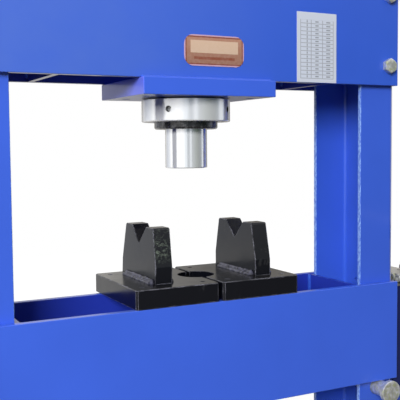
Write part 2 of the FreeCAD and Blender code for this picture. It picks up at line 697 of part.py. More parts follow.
def pump_block():
    """Cast body on the lid: a head with a boss below, an arm for the outlet, a pad for the fulcrum."""
    head = box(BLOCK_X, (BLOCK_Y[0], BLOCK_STEP), BLOCK_Z, 3.0)
    arm = box((BLOCK_X[0], BLOCK_X[0] + 26), (BLOCK_STEP - 10, BLOCK_Y[1]), BLOCK_Z, 3.0)
    pad = box((PUMP_X - 34, BLOCK_X[1]), (BLOCK_STEP - 10, PIVOT_Y + 24), BLOCK_Z, 3.0)
    boss = rod(BOSS_RADIUS, V(PUMP_X, PLUNGER_Y, BLOCK_Z[0] - 60), UP, 64)
    block = head.fuse([arm, pad, boss]).removeSplitter()
    block = hole_through(block, PLUNGER_RADIUS + RUNNING, V(PUMP_X, PLUNGER_Y, BLOCK_Z[0] - 50), UP, 100)
    block = hole_through(block, VALVE_RADIUS + RUNNING, V(VALVE_X, BLOCK_Y[0] - 1, VALVE_Z), ALONG_Y, 40)
    for y, z in PLUG_PLACES:
        block = hole_through(block, PLUG_STEM, V(BLOCK_X[0] - 1, y, z), ALONG_X, 19)
    return hole_through(block, PIPE_RADIUS + 0.1, V(PIPE_X, PIPE_Y, BLOCK_Z[1] - 20), UP, 30)


VALVE_RADIUS = 6.0
VALVE_X = 578.0
VALVE_Z = 988.0
PLUG_STEM = 6.5
PLUG_HEAD = 9.5
PLUG_PLACES = ((-66.0, 988.0), (-46.0, 988.0), (4.0, 988.0))


def block_plugs():
    """Screwed plugs over the valves in the block's left side: flanged heads with a socket."""
    plugs = []
    for y, z in PLUG_PLACES:
        face = V(BLOCK_X[0], y, z)
        stem = rod(PLUG_STEM - 0.1, face, ALONG_X, 16)
        head = turned([(0, 0), (PLUG_HEAD, 0), (PLUG_HEAD, 7), (0, 7)], [0, 1, 2, 0])
        head = aimed(head, face, V(-1, 0, 0))
        socket = hexagon(9.0, 6.0, face + V(-1.5, 0, 0), V(-1, 0, 0), chamfer=0.0)
        plugs.append(head.fuse(stem).cut(socket))
    return Part.makeCompound(plugs)


def release_valve():
    """Valve spindle with a fluted round knob, at the block's front."""
    start = V(VALVE_X, BLOCK_Y[0] + 36, VALVE_Z)
    spindle = rod(VALVE_RADIUS, start, V(0, -1, 0), 60)
    knob = turned([(0, 0), (12, 0), (21, 6), (21, 24), (0, 24)], [0, 1, 3, 3, 0])
    for step in range(8):
        angle = math.radians(step * 45)
        knob = knob.cut(rod(4.0, V(23 * math.cos(angle), 23 * math.sin(angle), -1), UP, 27))
    knob = aimed(knob, V(VALVE_X, BLOCK_Y[0] - 14, VALVE_Z), V(0, -1, 0))
    return spindle.fuse(knob)


def plunger_gland():
    """Hexagon nut that guides the plunger out of the block."""
    nut = hexagon(32.0, 22.0, V(PUMP_X, PLUNGER_Y, BLOCK_Z[1]), UP, chamfer=2.0, turn=30)
    return hole_through(nut, PLUNGER_RADIUS + RUNNING, V(PUMP_X, PLUNGER_Y, BLOCK_Z[1]), UP, 22)


def lever_fulcrum():
    """Base with two ears that carry the lever's pivot pin."""
    z = BLOCK_Z[1]
    base = box((PUMP_X - 30, PUMP_X + 30), (PIVOT_Y - 17, PIVOT_Y + 19), (z, z + 9), 1.0)
    for x in (PUMP_X - 28, PUMP_X + 20):
        corners = [V(x, PIVOT_Y - 15, z + 5), V(x, PIVOT_Y + 18, z + 5), V(x, PIVOT_Y + 13, PIVOT_Z + 13),
                   V(x, PIVOT_Y - 13, PIVOT_Z + 13)]
        base = base.fuse(prism(corners, ALONG_X * 8, [0, 0, 12, 12]))
    return hole_through(base, PIVOT_PIN_RADIUS + RUNNING, V(PUMP_X - 40, PIVOT_Y, PIVOT_Z), ALONG_X, 80)


def fulcrum_pin():
    shaft = rod(PIVOT_PIN_RADIUS, V(PUMP_X - 33, PIVOT_Y, PIVOT_Z), ALONG_X, 66)
    head = rod(PIVOT_PIN_RADIUS + 3, V(PUMP_X - 33, PIVOT_Y, PIVOT_Z), ALONG_X, 4.5)
    return shaft.fuse(head)


def on_lever(x, along, above, tilt=LEVER_TILT):
    """Point in the lever's own measure: along the handle and above it, from the pivot."""
    angle = math.radians(tilt)
    y = PIVOT_Y - along * math.cos(angle) + above * math.sin(angle)
    z = PIVOT_Z + along * math.sin(angle) + above * math.cos(angle)
    return V(PUMP_X + x, y, z)


def lever_heading():
    return unit(on_lever(0, 1, 0) - on_lever(0, 0, 0))


SLEEVE_ABOVE = 16.0
SLEEVE_START = 62.0


def lever_socket():
    """Fork over the pivot and plunger pins, with a sleeve for the handle."""
    cheek_wall = 7.0
    gap = 8.5
    arm_angle = math.radians(-LEVER_SWING / 2 - LEVER_TILT)
    pieces = []
    for x in (-gap - cheek_wall, gap):
        outline = [(-14, -8, 8), (-14, 14, 10), (SLEEVE_START, 35, 4), (SLEEVE_START + 34, 35, 4),
                   (SLEEVE_START + 34, -2, 4), (56, -40, 12), (30, -40, 12)]
        corners = [on_lever(x, along, above) for along, above, _ in outline]
        pieces.append(prism(corners, ALONG_X * cheek_wall, [radius for _, _, radius in outline]))
    sleeve_start = on_lever(0, SLEEVE_START, SLEEVE_ABOVE)
    heading = lever_heading()
    sleeve = rod(HANDLE_RADIUS + 5, sleeve_start, heading, 130)
    socket = sleeve.fuse(pieces)
    stop = on_lever(0, SLEEVE_START + 4, SLEEVE_ABOVE)
    socket = hole_through(socket, HANDLE_RADIUS + 0.3, stop, heading, 140)
    socket = hole_through(socket, PIVOT_PIN_RADIUS + RUNNING, on_lever(-30, 0, 0), ALONG_X, 60)
    near = ARM - 2.0
    far = ARM / math.cos(math.radians(LEVER_SWING / 2)) + 1.5
    slot_radius = PLUNGER_PIN_RADIUS + 0.9
    first = on_lever(-30, near * math.cos(arm_angle), near * math.sin(arm_angle))
    last = on_lever(-30, far * math.cos(arm_angle), far * math.sin(arm_angle))
    across = unit(last - first).cross(ALONG_X) * slot_radius
    slot = prism([first + across, last + across, last - across, first - across], ALONG_X * 60)
    slot_ends = [rod(slot_radius, first, ALONG_X, 60), rod(slot_radius, last, ALONG_X, 60)]
    return socket.cut(slot.fuse(slot_ends))


def lever_handle():
    heading = lever_heading()
    start = on_lever(0, SLEEVE_START + 5, SLEEVE_ABOVE)
    tube = rod(HANDLE_RADIUS, start, heading, HANDLE_END - SLEEVE_START - 5)
    return hole_through(tube, HANDLE_RADIUS - HANDLE_WALL, start, heading, HANDLE_END)


def lever_grip():
    """Rubber sleeve pushed over the handle's end, ribbed round and closed at the tip."""
    cap = 6.0
    inner = HANDLE_RADIUS + 0.1
    outer = HANDLE_RADIUS + 4.5
    profile = [(0, GRIP_LENGTH - cap), (inner, GRIP_LENGTH - cap), (inner, 0), (outer + 2, 0),
               (outer + 2, 8), (outer, 12), (outer, GRIP_LENGTH), (0, GRIP_LENGTH)]
    grip = turned(profile, [0, 0, 0, 2, 2, 2, 4, 0])
    for step in range(9):
        grip = grip.cut(Part.makeTorus(outer + 0.6, 1.4, V(0, 0, 22 + step * 11), UP))
    start = on_lever(0, HANDLE_END - GRIP_LENGTH + cap, SLEEVE_ABOVE)
    return aimed(grip, start, lever_heading())


def pump_plunger():
    """Polished plunger with a flat eye on top for its pin."""
    low = BLOCK_Z[0] - 32
    neck = PLUNGER_PIN_Z - 14
    shaft = rod(PLUNGER_RADIUS, V(PUMP_X, PLUNGER_Y, low), UP, neck - low + 4)
    eye = box((PUMP_X - 7, PUMP_X + 7), (PLUNGER_Y - 11, PLUNGER_Y + 11), (neck, PLUNGER_PIN_Z + 11), 2.0)
    start = V(PUMP_X - 20, PLUNGER_Y, PLUNGER_PIN_Z)
    return hole_through(shaft.fuse(eye), PLUNGER_PIN_RADIUS + 0.1, start, ALONG_X, 40)


def plunger_pin():
    return rod(PLUNGER_PIN_RADIUS, V(PUMP_X - 17, PLUNGER_Y, PLUNGER_PIN_Z), ALONG_X, 34)


# ---------------------------------------------------------------- pressure line and gauge
PIPE_ROUTE = [V(PIPE_X, PIPE_Y, BLOCK_Z[1] - 12), V(PIPE_X, PIPE_Y, 1078), V(PIPE_POST_X, PIPE_Y, 1140),
              V(PIPE_POST_X, PIPE_Y, PIPE_TOP_Z), V(150, PIPE_Y, PIPE_TOP_Z), V(96, PIPE_Y, PORT_Z),
              V(20, PIPE_Y, PORT_Z)]


def pipe_path(route, bend):
    """Straight runs joined by arcs of the bending radius, as a pipe bender leaves them."""
    edges = []
    here = route[0]
    for index in range(1, len(route) - 1):
        corner = route[index]
        back = unit(route[index - 1] - corner)
        onward = unit(route[index + 1] - corner)
        half = back.getAngle(onward) / 2
        reach = bend / math.tan(half)
        middle = unit(back + onward)
        centre = corner + middle * (bend / math.sin(half))
        bend_start = corner + back * reach
        bend_end = corner + onward * reach
        edges.append(Part.makeLine(here, bend_start))
        edges.append(Part.Arc(bend_start, centre - middle * bend, bend_end).toShape())
        here = bend_end
    edges.append(Part.makeLine(here, route[-1]))
    return Part.Wire(edges)


def pressure_pipe():
    """Steel pipe from the pump, up the right post's outer face and over to the cylinder."""
    path = pipe_path(PIPE_ROUTE, PIPE_BEND)
    heading = unit(PIPE_ROUTE[1] - PIPE_ROUTE[0])
    outline = Part.Wire([Part.makeCircle(PIPE_RADIUS, PIPE_ROUTE[0], heading)])
    hollow = Part.Wire([Part.makeCircle(PIPE_BORE, PIPE_ROUTE[0], heading)])
    pipe = path.makePipeShell([outline], True, False).cut(path.makePipeShell([hollow], True, False))
    expected = math.pi * (PIPE_RADIUS ** 2 - PIPE_BORE ** 2) * path.Length
    print("pressure pipe: length", round(path.Length), "volume ratio", round(pipe.Volume / expected, 4))
    return pipe


def pipe_nuts():
    """Union nuts at both ends of the pipe."""
    pump_end = hexagon(19.0, 20.0, V(PIPE_X, PIPE_Y, BLOCK_Z[1]), UP, turn=30)
    pump_end = hole_through(pump_end, PIPE_RADIUS + 0.1, V(PIPE_X, PIPE_Y, BLOCK_Z[1]), UP, 20)
    start = V(PORT_X, PIPE_Y, PORT_Z)
    port_end = hexagon(19.0, 20.0, start, ALONG_X)
    port_end = hole_through(port_end, PIPE_RADIUS + 0.1, start, ALONG_X, 20)
    return Part.makeCompound([pump_end, port_end])


CLIP_HEIGHTS = (1200.0, 1353.0, 1506.0, 1659.0)


def pipe_clips():
    """Saddles that hold the pipe to the post's outer face."""
    clips = []
    width = 14.0
    outer = PIPE_RADIUS + 2.1
    for z in CLIP_HEIGHTS:
        start = V(PIPE_POST_X, PIPE_Y, z)
        band = rod(outer, start, UP, width)
        block = box((POST_OUTER_X, PIPE_POST_X), (PIPE_Y - outer, PIPE_Y + outer), (z, z + width))
        foot = box((POST_OUTER_X, POST_OUTER_X + 2.5), (PIPE_Y - 24, PIPE_Y + outer), (z, z + width))
        screw = rod(4.5, V(POST_OUTER_X + 2.5, PIPE_Y - 16, z + width / 2), ALONG_X, 3.5)
        clip = band.fuse([block, foot, screw])
        clips.append(hole_through(clip, PIPE_RADIUS + 0.1, V(PIPE_POST_X, PIPE_Y, z - 1), UP, width + 2))
    return Part.makeCompound(clips)


PORT_X = 32.0


def port_block():
    """Steel block on the cap: pipe in from the right, gauge on top, oil down into the cylinder."""
    block = box((-PORT_X, PORT_X), (-28, 46), (CAP_TOP_Z, CAP_TOP_Z + 44), 1.5)
    block = hole_through(block, PIPE_RADIUS + 0.1, V(PORT_X - 18, PIPE_Y, PORT_Z), ALONG_X, 20)
    block = hole_through(block, 4.0, V(0, 0, CAP_TOP_Z - 1), UP, 30)
    return hole_through(block, 7.0, V(0, 0, CAP_TOP_Z + 30), UP, 20)


GAUGE_Z = CAP_TOP_Z + 44 + GAUGE_RISE
GAUGE_FRONT = -GAUGE_DEPTH / 2


def gauge_case():
    """Round case, open to the front, with its square stem and screwed tail below."""
    back = V(0, GAUGE_DEPTH / 2, GAUGE_Z)
    r, deep = GAUGE_RADIUS, GAUGE_DEPTH
    shell = turned([(0, 0), (r - 2, 0), (r - 2, deep - 8), (r + 2, deep - 8), (r + 2, deep), (r - 3, deep),
                    (r - 5, deep - 2), (r - 5, 3), (0, 3)], [0, 4, 1, 1, 2, 1, 0, 0, 0])
    shell = aimed(shell, back, V(0, -1, 0))
    stem_top = GAUGE_Z - GAUGE_RADIUS + 4
    stem = box((-9, 9), (-9, 9), (CAP_TOP_Z + 44, stem_top), 1.0)
    tail = rod(6.9, V(0, 0, CAP_TOP_Z + 32), UP, 14)
    return shell.fuse([stem, tail])


def gauge_dial():
    dial = rod(GAUGE_RADIUS - 5.2, V(0, GAUGE_FRONT + 9, GAUGE_Z), ALONG_Y, 1.0)
    boss = rod(2.0, V(0, GAUGE_FRONT + 7, GAUGE_Z), ALONG_Y, 2.5)
    return dial.fuse(boss)


NEEDLE_REST = -135.0     # degrees from straight up, at no pressure


def gauge_needle():
    """Pointer with a round hub and a short tail, turned to its zero."""
    y = GAUGE_FRONT + 5.4
    corners = [V(-1.6, y, -14), V(1.6, y, -14), V(2.6, y, 0), V(0.5, y, 36), V(-0.5, y, 36), V(-2.6, y, 0)]
    needle = prism(corners, ALONG_Y * 1.0).fuse(rod(4.5, V(0, y - 0.6, 0), ALONG_Y, 1.6))
    needle.rotate(V(0, 0, 0), ALONG_Y, NEEDLE_REST)
    return needle.translate(V(0, 0, GAUGE_Z))


def gauge_glass():
    return rod(GAUGE_RADIUS - 5.2, V(0, GAUGE_FRONT + 2, GAUGE_Z), ALONG_Y, 2.0)


def sign_plate(x, rise, height, corner):
    """Thin sign on the front beam's face."""
    y = -TOP_BEAM_Y
    z = TOP_BEAM_BOTTOM + rise
    corners = [V(x[0], y, z), V(x[1], y, z), V(x[1], y, z + height), V(x[0], y, z + height)]
    return prism(corners, V(0, -SIGN_WALL, 0), [corner] * 4)


# ---------------------------------------------------------------- all the pieces
def all_pieces():
    right = post_right()
    foot = foot_plate_right()
    return {
        "post_left": mirrored_x(right),
        "post_right": drain_hole(right),
        "foot_plate_left": mirrored_x(foot),
        "foot_plate_right": foot,
        "foot_gussets": foot_gussets(),
        "rear_tie_bar": rear_tie_bar(),
        "top_beam_front": top_beam(True),
        "top_beam_back": top_beam(False),
        "top_beam_spacers": top_beam_spacers(),
        "beam_bolts": beam_bolts(),
        "beam_washers": beam_washers(),
        "beam_nuts": beam_nuts(),
        "cylinder_mount_plate": cylinder_mount_plate(),
        "frame_welds": frame_welds(),
        "bed_beam_front": bed_beam(True),
        "bed_beam_back": bed_beam(False),
        "bed_spacers": bed_spacers(),
        "bed_pin_left": bed_pin(-1),
        "bed_pin_right": bed_pin(1),
        "pin_clips": pin_clips(),
        "cylinder_barrel": cylinder_barrel(),
        "cylinder_cap": cylinder_cap(),
        "gland": gland(),
        "guide_bush": gland_liner(GLAND_GROOVES[1]),
        "rod_seals": Part.makeCompound([gland_liner(GLAND_GROOVES[0]), gland_liner(GLAND_GROOVES[2])]),
        "lock_ring": lock_ring(),
        "ram": ram(),
        "piston": piston(),
        "piston_seals": piston_seals(),
        "return_spring": return_spring(),
        "press_plate_left": press_plate(LEFT_PLATE_X),
        "press_plate_right": press_plate(RIGHT_PLATE_X),
        "v_block_left": v_block(LEFT_BLADE),
        "v_block_right": v_block(RIGHT_BLADE),
        "v_block_welds": v_block_welds(),
        "pump_bracket": pump_bracket(),
        "pump_tank": pump_tank(),
        "tank_lid": tank_lid(),
        "tank_filler_cap": tank_filler_cap(),
        "pump_block": pump_block(),
        "block_plugs": block_plugs(),
        "release_valve": release_valve(),
        "plunger_gland": plunger_gland(),
        "lever_fulcrum": lever_fulcrum(),
        "fulcrum_pin": fulcrum_pin(),
        "lever_socket": lever_socket(),
        "lever_handle": lever_handle(),
        "lever_grip": lever_grip(),
        "pump_plunger": pump_plunger(),
        "plunger_pin": plunger_pin(),
        "pressure_pipe": pressure_pipe(),
        "pipe_nuts": pipe_nuts(),
        "pipe_clips": pipe_clips(),
        "port_block": port_block(),
        "gauge_case": gauge_case(),
        "gauge_dial": gauge_dial(),
        "gauge_needle": gauge_needle(),
        "gauge_glass": gauge_glass(),
        "label_plate": sign_plate(LABEL_X, LABEL_RISE, LABEL_HEIGHT, LABEL_CORNER),
        "chart_plate": sign_plate(CHART_X, CHART_RISE, CHART_HEIGHT, CHART_CORNER),
    }


def main():
    os.makedirs("parts", exist_ok=True)
    pieces = all_pieces()
    for node, shape in pieces.items():
        shape.exportStep("parts/" + node + ".step")
        state = "ok" if shape.isValid() else "NOT VALID"
        print(node, len(shape.Solids), "solids", round(shape.Volume / 1000), "cm3", state)
    print(len(pieces), "nodes")


main()
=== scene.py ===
"""Hydraulic workshop press: finishes, weld beads, threads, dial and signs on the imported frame, and a studio.

Laid out as an add-on and run as a script. Metres; X to the right, Y to the back, Z up from the floor.
"""
import math

import bpy
from bpy.props import FloatProperty, FloatVectorProperty, IntProperty, PointerProperty
from mathutils import Matrix, Vector


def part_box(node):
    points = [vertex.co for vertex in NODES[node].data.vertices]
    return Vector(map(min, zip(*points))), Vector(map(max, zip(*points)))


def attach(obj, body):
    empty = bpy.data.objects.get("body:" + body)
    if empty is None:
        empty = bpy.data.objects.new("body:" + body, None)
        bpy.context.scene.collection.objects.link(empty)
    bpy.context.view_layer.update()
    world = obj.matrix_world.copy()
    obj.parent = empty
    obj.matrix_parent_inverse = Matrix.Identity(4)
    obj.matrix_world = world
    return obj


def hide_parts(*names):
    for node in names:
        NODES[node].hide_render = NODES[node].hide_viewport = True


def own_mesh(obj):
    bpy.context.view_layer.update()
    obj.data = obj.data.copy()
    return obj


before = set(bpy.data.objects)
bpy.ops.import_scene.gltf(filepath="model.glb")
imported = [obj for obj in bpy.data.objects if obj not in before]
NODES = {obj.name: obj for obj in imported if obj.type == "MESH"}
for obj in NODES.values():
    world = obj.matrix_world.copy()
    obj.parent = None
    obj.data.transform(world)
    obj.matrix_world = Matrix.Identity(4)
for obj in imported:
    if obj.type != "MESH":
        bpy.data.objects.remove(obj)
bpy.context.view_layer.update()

bl_info = {
    "name": "Hydraulic workshop press",
    "version": (1, 0, 0),
    "blender": (4, 5, 0),
    "location": "3D View > Sidebar > Press",
    "description": "Finishes and fine parts of an H-frame workshop press with a hand pump",
    "category": "Object",
}

BLADE_WALL = 0.0385       # a V-block, from side to side
STAY_WALL = 0.012         # a stay at the foot, and a cross plate of the head
MM = 0.001


def low(node):
    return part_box(node)[0]


def high(node):
    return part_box(node)[1]


def middle(node):
    return (low(node) + high(node)) / 2


# ------------------------------------------------------------------ sizes and colours a user would change
def colour_property(name, description, default):
    return FloatVectorProperty(name=name, description=description, default=default,
                               subtype="COLOR", size=3, min=0, max=1)


def length_property(name, description, default):
    return FloatProperty(name=name, description=description, default=default,
                         unit="LENGTH", subtype="DISTANCE", min=0)


def share_property(name, description, default):
    return FloatProperty(name=name, description=description, default=default,
                         subtype="FACTOR", min=0, max=1)


def power_property(name, description, default):
    return FloatProperty(name=name, description=description, default=default, unit="POWER", min=0)


class PressPaint(bpy.types.PropertyGroup):
    enamel: colour_property("Enamel", "Blue of the frame, bed and cylinder", (0.031, 0.103, 0.598))
    # painted light: a lighter copy of the frame's blue, for the bed and the mount plate; the posts take it a
    # little darker, as painted shade
    bed: colour_property("Bed enamel", "Blue of the bed, sprayed from another batch", (0.043, 0.120, 0.675))
    tank: colour_property("Tank enamel", "Dark blue of the pump's tank and lever fork", (0.006, 0.014, 0.110))
    black: colour_property("Black paint", "Paint of the press plates and V-blocks", (0.0040, 0.0044, 0.0074))
    enamel_roughness: share_property("Enamel roughness", "How matt the blue enamel is", 0.30)
    black_roughness: share_property("Black paint roughness", "How matt the black paint is", 0.18)
    peel: share_property("Orange peel", "How strongly the sprayed paint ripples", 0.10)
    scuffs: share_property("Scuffs", "How worn the black paint is", 0.55)


class PressSteel(bpy.types.PropertyGroup):
    chrome: colour_property("Chrome", "Colour of the ram and plunger", (0.83, 0.84, 0.85))
    turned: colour_property("Turned steel", "Colour of the lock ring and piston", (0.88, 0.89, 0.90))
    zinc: colour_property("Zinc", "Colour of bolts, nuts, pins and clips", (0.72, 0.73, 0.70))
    alloy: colour_property("Pump alloy", "Colour of the pump's block and lid", (0.56, 0.54, 0.50))
    thread_pitch: length_property("Thread pitch", "Pitch of the beam bolts' thread", 2.5 * MM)


class PressWelds(bpy.types.PropertyGroup):
    ripple: length_property("Ripple", "From one ripple of a weld bead to the next", 3.2 * MM)
    frame_leg: length_property("Frame bead", "Leg of the beads on the frame", 6.0 * MM)
    block_leg: length_property("V-block bead", "Leg of the beads at the V-blocks' feet", 11.0 * MM)


class PressSigns(bpy.types.PropertyGroup):
    label: colour_property("Label", "Field of the small label", (0.33, 0.162, 0.108))
    label_rim: colour_property("Label rim", "Line round the small label", (0.52, 0.33, 0.42))
    chart: colour_property("Chart", "Ground of the chart plate", (0.56, 0.60, 0.69))
    chart_line: colour_property("Chart lines", "Lines of the chart plate", (0.13, 0.14, 0.16))
    dial_marks: IntProperty(name="Dial marks", description="Numbered marks round the gauge's dial",
                            default=7, min=3, max=13)


class PressStudio(bpy.types.PropertyGroup):
    floor: share_property("Floor", "How much light the floor gives back", 0.13)
    floor_glow: share_property("Floor glow", "White that the floor adds for the camera near the object", 0.84)
    key: power_property("Key lamp", "Power of the large lamp in front, upper left", 460.0)
    glint: share_property("Glint", "Share of the key lamp that polished faces mirror", 0.12)
    top: power_property("Top lamp", "Power of the lamp overhead", 10.0)
    room: FloatProperty(name="Room light", description="Light from the sky of the room", default=0.42, min=0)
    lens: FloatProperty(name="Lens", description="Focal length", default=69.4, unit="CAMERA", min=10)


# ------------------------------------------------------------------ modelling by operators
def clear_selection():
    if bpy.context.object and bpy.context.object.mode != "OBJECT":
        bpy.ops.object.mode_set(mode="OBJECT")
    bpy.ops.object.select_all(action="DESELECT")


def only(piece):
    clear_selection()
    piece.select_set(True)
    bpy.context.view_layer.objects.active = piece


def added(name):
    """The primitive that was just added, with its place in its mesh."""
    piece = bpy.context.object
    piece.name = name
    piece.data.name = name
    bpy.ops.object.transform_apply(location=True, rotation=True, scale=True)
    return piece


def cylinder(name, radius, start, end, sides=48):
    clear_selection()
    start, end = Vector(start), Vector(end)
    turn = (end - start).to_track_quat("Z", "Y").to_euler()
    bpy.ops.mesh.primitive_cylinder_add(vertices=sides, radius=radius, depth=(end - start).length,
                                        location=(start + end) / 2, rotation=turn)
    return added(name)


def block(name, corner, opposite):
    clear_selection()
    corner, opposite = Vector(corner), Vector(opposite)
    bpy.ops.mesh.primitive_cube_add(size=1, location=(corner + opposite) / 2, scale=opposite - corner)
    return added(name)


def discard(piece):
    only(piece)
    bpy.ops.object.delete()


def turned_outward(piece, hole_sides=0):
    """Closes holes of up to so many sides, and turns every face outwards."""
    only(piece)
    bpy.ops.object.mode_set(mode="EDIT")
    bpy.ops.mesh.select_all(action="SELECT")
    if hole_sides:
        bpy.ops.mesh.fill_holes(sides=hole_sides)
    bpy.ops.mesh.normals_make_consistent(inside=False)
    bpy.ops.object.mode_set(mode="OBJECT")
    return piece


def modified(piece, kind, **settings):
    """Adds a modifier to the piece, sets it and applies it."""
    only(piece)
    bpy.ops.object.modifier_add(type=kind)
    modifier = piece.modifiers[-1]
    for key, value in settings.items():
        setattr(modifier, key, value)
    bpy.ops.object.modifier_apply(modifier=modifier.name)
    return piece


def smooth(piece, degrees=30):
    only(piece)
    bpy.ops.object.shade_smooth_by_angle(angle=math.radians(degrees))
    return piece


def joined(name, pieces):
    clear_selection()
    for piece in pieces:
        piece.select_set(True)
    bpy.context.view_layer.objects.active = pieces[0]
    if len(pieces) > 1:
        bpy.ops.object.join()
    pieces[0].name = name
    pieces[0].data.name = name
    return pieces[0]


def copied(piece, move=(0, 0, 0)):
    """A copy with its own mesh, moved; the place goes into the mesh."""
    only(piece)
    bpy.ops.object.duplicate(linked=False)
    twin = bpy.context.object
    bpy.ops.transform.translate(value=Vector(move))
    bpy.ops.object.transform_apply(location=True, rotation=False, scale=False)
    return twin


def dressed(piece, material, body, replaced=()):
    piece.data.materials.clear()
    piece.data.materials.append(material)
    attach(piece, body)
    if replaced:
        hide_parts(*replaced)
    return piece


def finish_nodes(material, *names):
    """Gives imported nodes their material."""
    for name in names:
        for slot in NODES[name].material_slots:
            slot.material = material


# ------------------------------------------------------------------ finishes
class Tree:
    """A node tree under way, whose inputs take other nodes' outputs or plain values."""

    def __init__(self, owner):
        owner.use_nodes = True
        self.nodes = owner.node_tree.nodes
        self.links = owner.node_tree.links

    def feed(self, socket, value):
        """Links an output to the socket, or sets the socket to a plain value."""
        if isinstance(value, bpy.types.NodeSocket):
            self.links.new(value, socket)
        else:
            socket.default_value = value

    def node(self, kind, *values, **settings):
        """Adds a node; the values go into its first inputs, in their order."""
        made = self.nodes.new("ShaderNode" + kind)
        for key, value in settings.items():
            setattr(made, key, value)
        for socket, value in zip(made.inputs, values):
            self.feed(socket, value)
        return made

    def tuned(self, made, **values):
        """Feeds a node's inputs by their names, with _ for a space."""
        for name, value in values.items():
            self.feed(made.inputs[name.replace("_", " ")], value)
        return made

    def math(self, operation, *terms):
        return self.node("Math", *terms, operation=operation).outputs[0]

    def chained(self, operation, first, *others):
        """The operation on the first two values, then on what it gave and the next one, and so on."""
        for other in others:
            first = self.math(operation, first, other)
        return first

    def product(self, *shares):
        return self.chained("MULTIPLY", *shares)

    def largest(self, *shares):
        return self.chained("MAXIMUM", *shares)

    def spread(self, source, old_low, old_high, new_low=0.0, new_high=1.0, **settings):
        """Maps a range of the pattern to new limits, and holds it there beyond them."""
        limits = (old_low, old_high, new_low, new_high)
        return self.node("MapRange", source, *limits, clamp=True, **settings).outputs["Result"]

    def blend(self, share, first, second):
        """Colour between two colours."""
        made = self.node("Mix", share, data_type="RGBA")
        for socket, value in zip(made.inputs[6:8], (first, second)):
            self.feed(socket, value if isinstance(value, bpy.types.NodeSocket) else (*value, 1))
        return made.outputs[2]


class Finish(Tree):
    """A material under way: the Principled shader and the patterns that feed it."""

    def __init__(self, name, colour, roughness, metallic=0.0, **sockets):
        self.material = bpy.data.materials.new(name)
        super().__init__(self.material)
        self.shader = self.tuned(self.nodes["Principled BSDF"], Base_Color=(*colour, 1), Roughness=roughness,
                                 Metallic=metallic, **sockets)
        self.place = self.node("TexCoord").outputs["Object"]
        self.normal = None

    def to(self, socket, value):
        self.feed(self.shader.inputs[socket], value)

    def mapped(self, stretch=(1, 1, 1), turn=(0, 0, 0), move=(0, 0, 0)):
        return self.node("Mapping", self.place, move, turn, stretch).outputs[0]

    def noise(self, scale, detail, rough=0.5, twist=0.0, **mapping):
        made = self.node("TexNoise", self.mapped(**mapping))
        return self.tuned(made, Scale=scale, Detail=detail, Roughness=rough, Distortion=twist).outputs["Fac"]

    def cells(self, scale):
        return self.tuned(self.node("TexVoronoi", self.mapped()), Scale=scale).outputs["Distance"]

    def uneven(self, roughness, scale, detail, least, most):
        """Lets the roughness wander between two shares of its value."""
        pattern = self.noise(scale, detail)
        self.to("Roughness", self.spread(pattern, 0.3, 0.7, roughness * least, roughness * most))

    def axis(self, letter):
        return self.node("SeparateXYZ", self.place).outputs[letter]

    def distance(self, letter):
        """How far the place is from the object's middle along an axis."""
        return self.math("ABSOLUTE", self.axis(letter))

    def within(self, letter, lowest, highest, soft=0.0003):
        """One between the two places along an axis, zero beyond them."""
        along = self.axis(letter)
        rising = self.spread(along, lowest - soft, lowest + soft)
        falling = self.spread(along, highest - soft, highest + soft, 1.0, 0.0)
        return self.product(rising, falling)

    def window(self, left, right, bottom, top):
        """One inside an upright rectangle, zero outside it."""
        return self.product(self.within("X", left, right), self.within("Z", bottom, top))

    def facing(self, letter, sign=1.0):
        """One on faces that look along the axis, zero on those square to it."""
        along = self.node("SeparateXYZ", self.node("NewGeometry").outputs["Normal"]).outputs[letter]
        return self.spread(self.product(along, sign), 0.4, 0.9)

    def edges(self, radius):
        """One on the piece's outer edges, zero on its flats."""
        rounded = self.node("Bevel", radius, samples=4).outputs[0]
        flat = self.node("NewGeometry").outputs["Normal"]
        alike = self.node("VectorMath", rounded, flat, operation="DOT_PRODUCT").outputs["Value"]
        return self.spread(alike, 0.88, 1.0, 1.0, 0.0)

    def bump(self, height, strength, distance):
        """Adds relief to the relief that is there already."""
        made = self.tuned(self.node("Bump"), Height=height, Strength=strength, Distance=distance)
        if self.normal:
            self.feed(made.inputs["Normal"], self.normal)
        self.normal = made.outputs[0]
        self.to("Normal", self.normal)


PAINTED_SHEEN = (0.064, 0.140, 0.565)        # painted sheen: paler enamel on the left of the head's front
PAINTED_TIP_HIGHLIGHT = (0.30, 0.50, 0.90)       # painted highlight, streaked, on the channels' flange tips
PAINTED_REFLECTION_SIDE = (0.15, 0.19, 0.90)      # painted reflection: the mount plate's left side, paler
PAINTED_SHADE_INSIDE = (0.010, 0.012, 0.30)        # painted shade on inner faces between the beams
PAINTED_CORNER_HIGHLIGHT = (0.66, 0.70, 0.95)  # painted highlight on a channel's outer front corner
DUST_SPECK = (0.45, 0.50, 0.66)
# painted shade: black for a narrow gap and for the inside of holes
PAINTED_SHADE_BLACK = (0.006, 0.006, 0.008)
SHEEN_REACH = (-0.30, 0.24)          # from left to right, where the painted sheen on the head's front thins out


def shade(colour, factor):
    return tuple(min(1.0, part * factor) for part in colour)


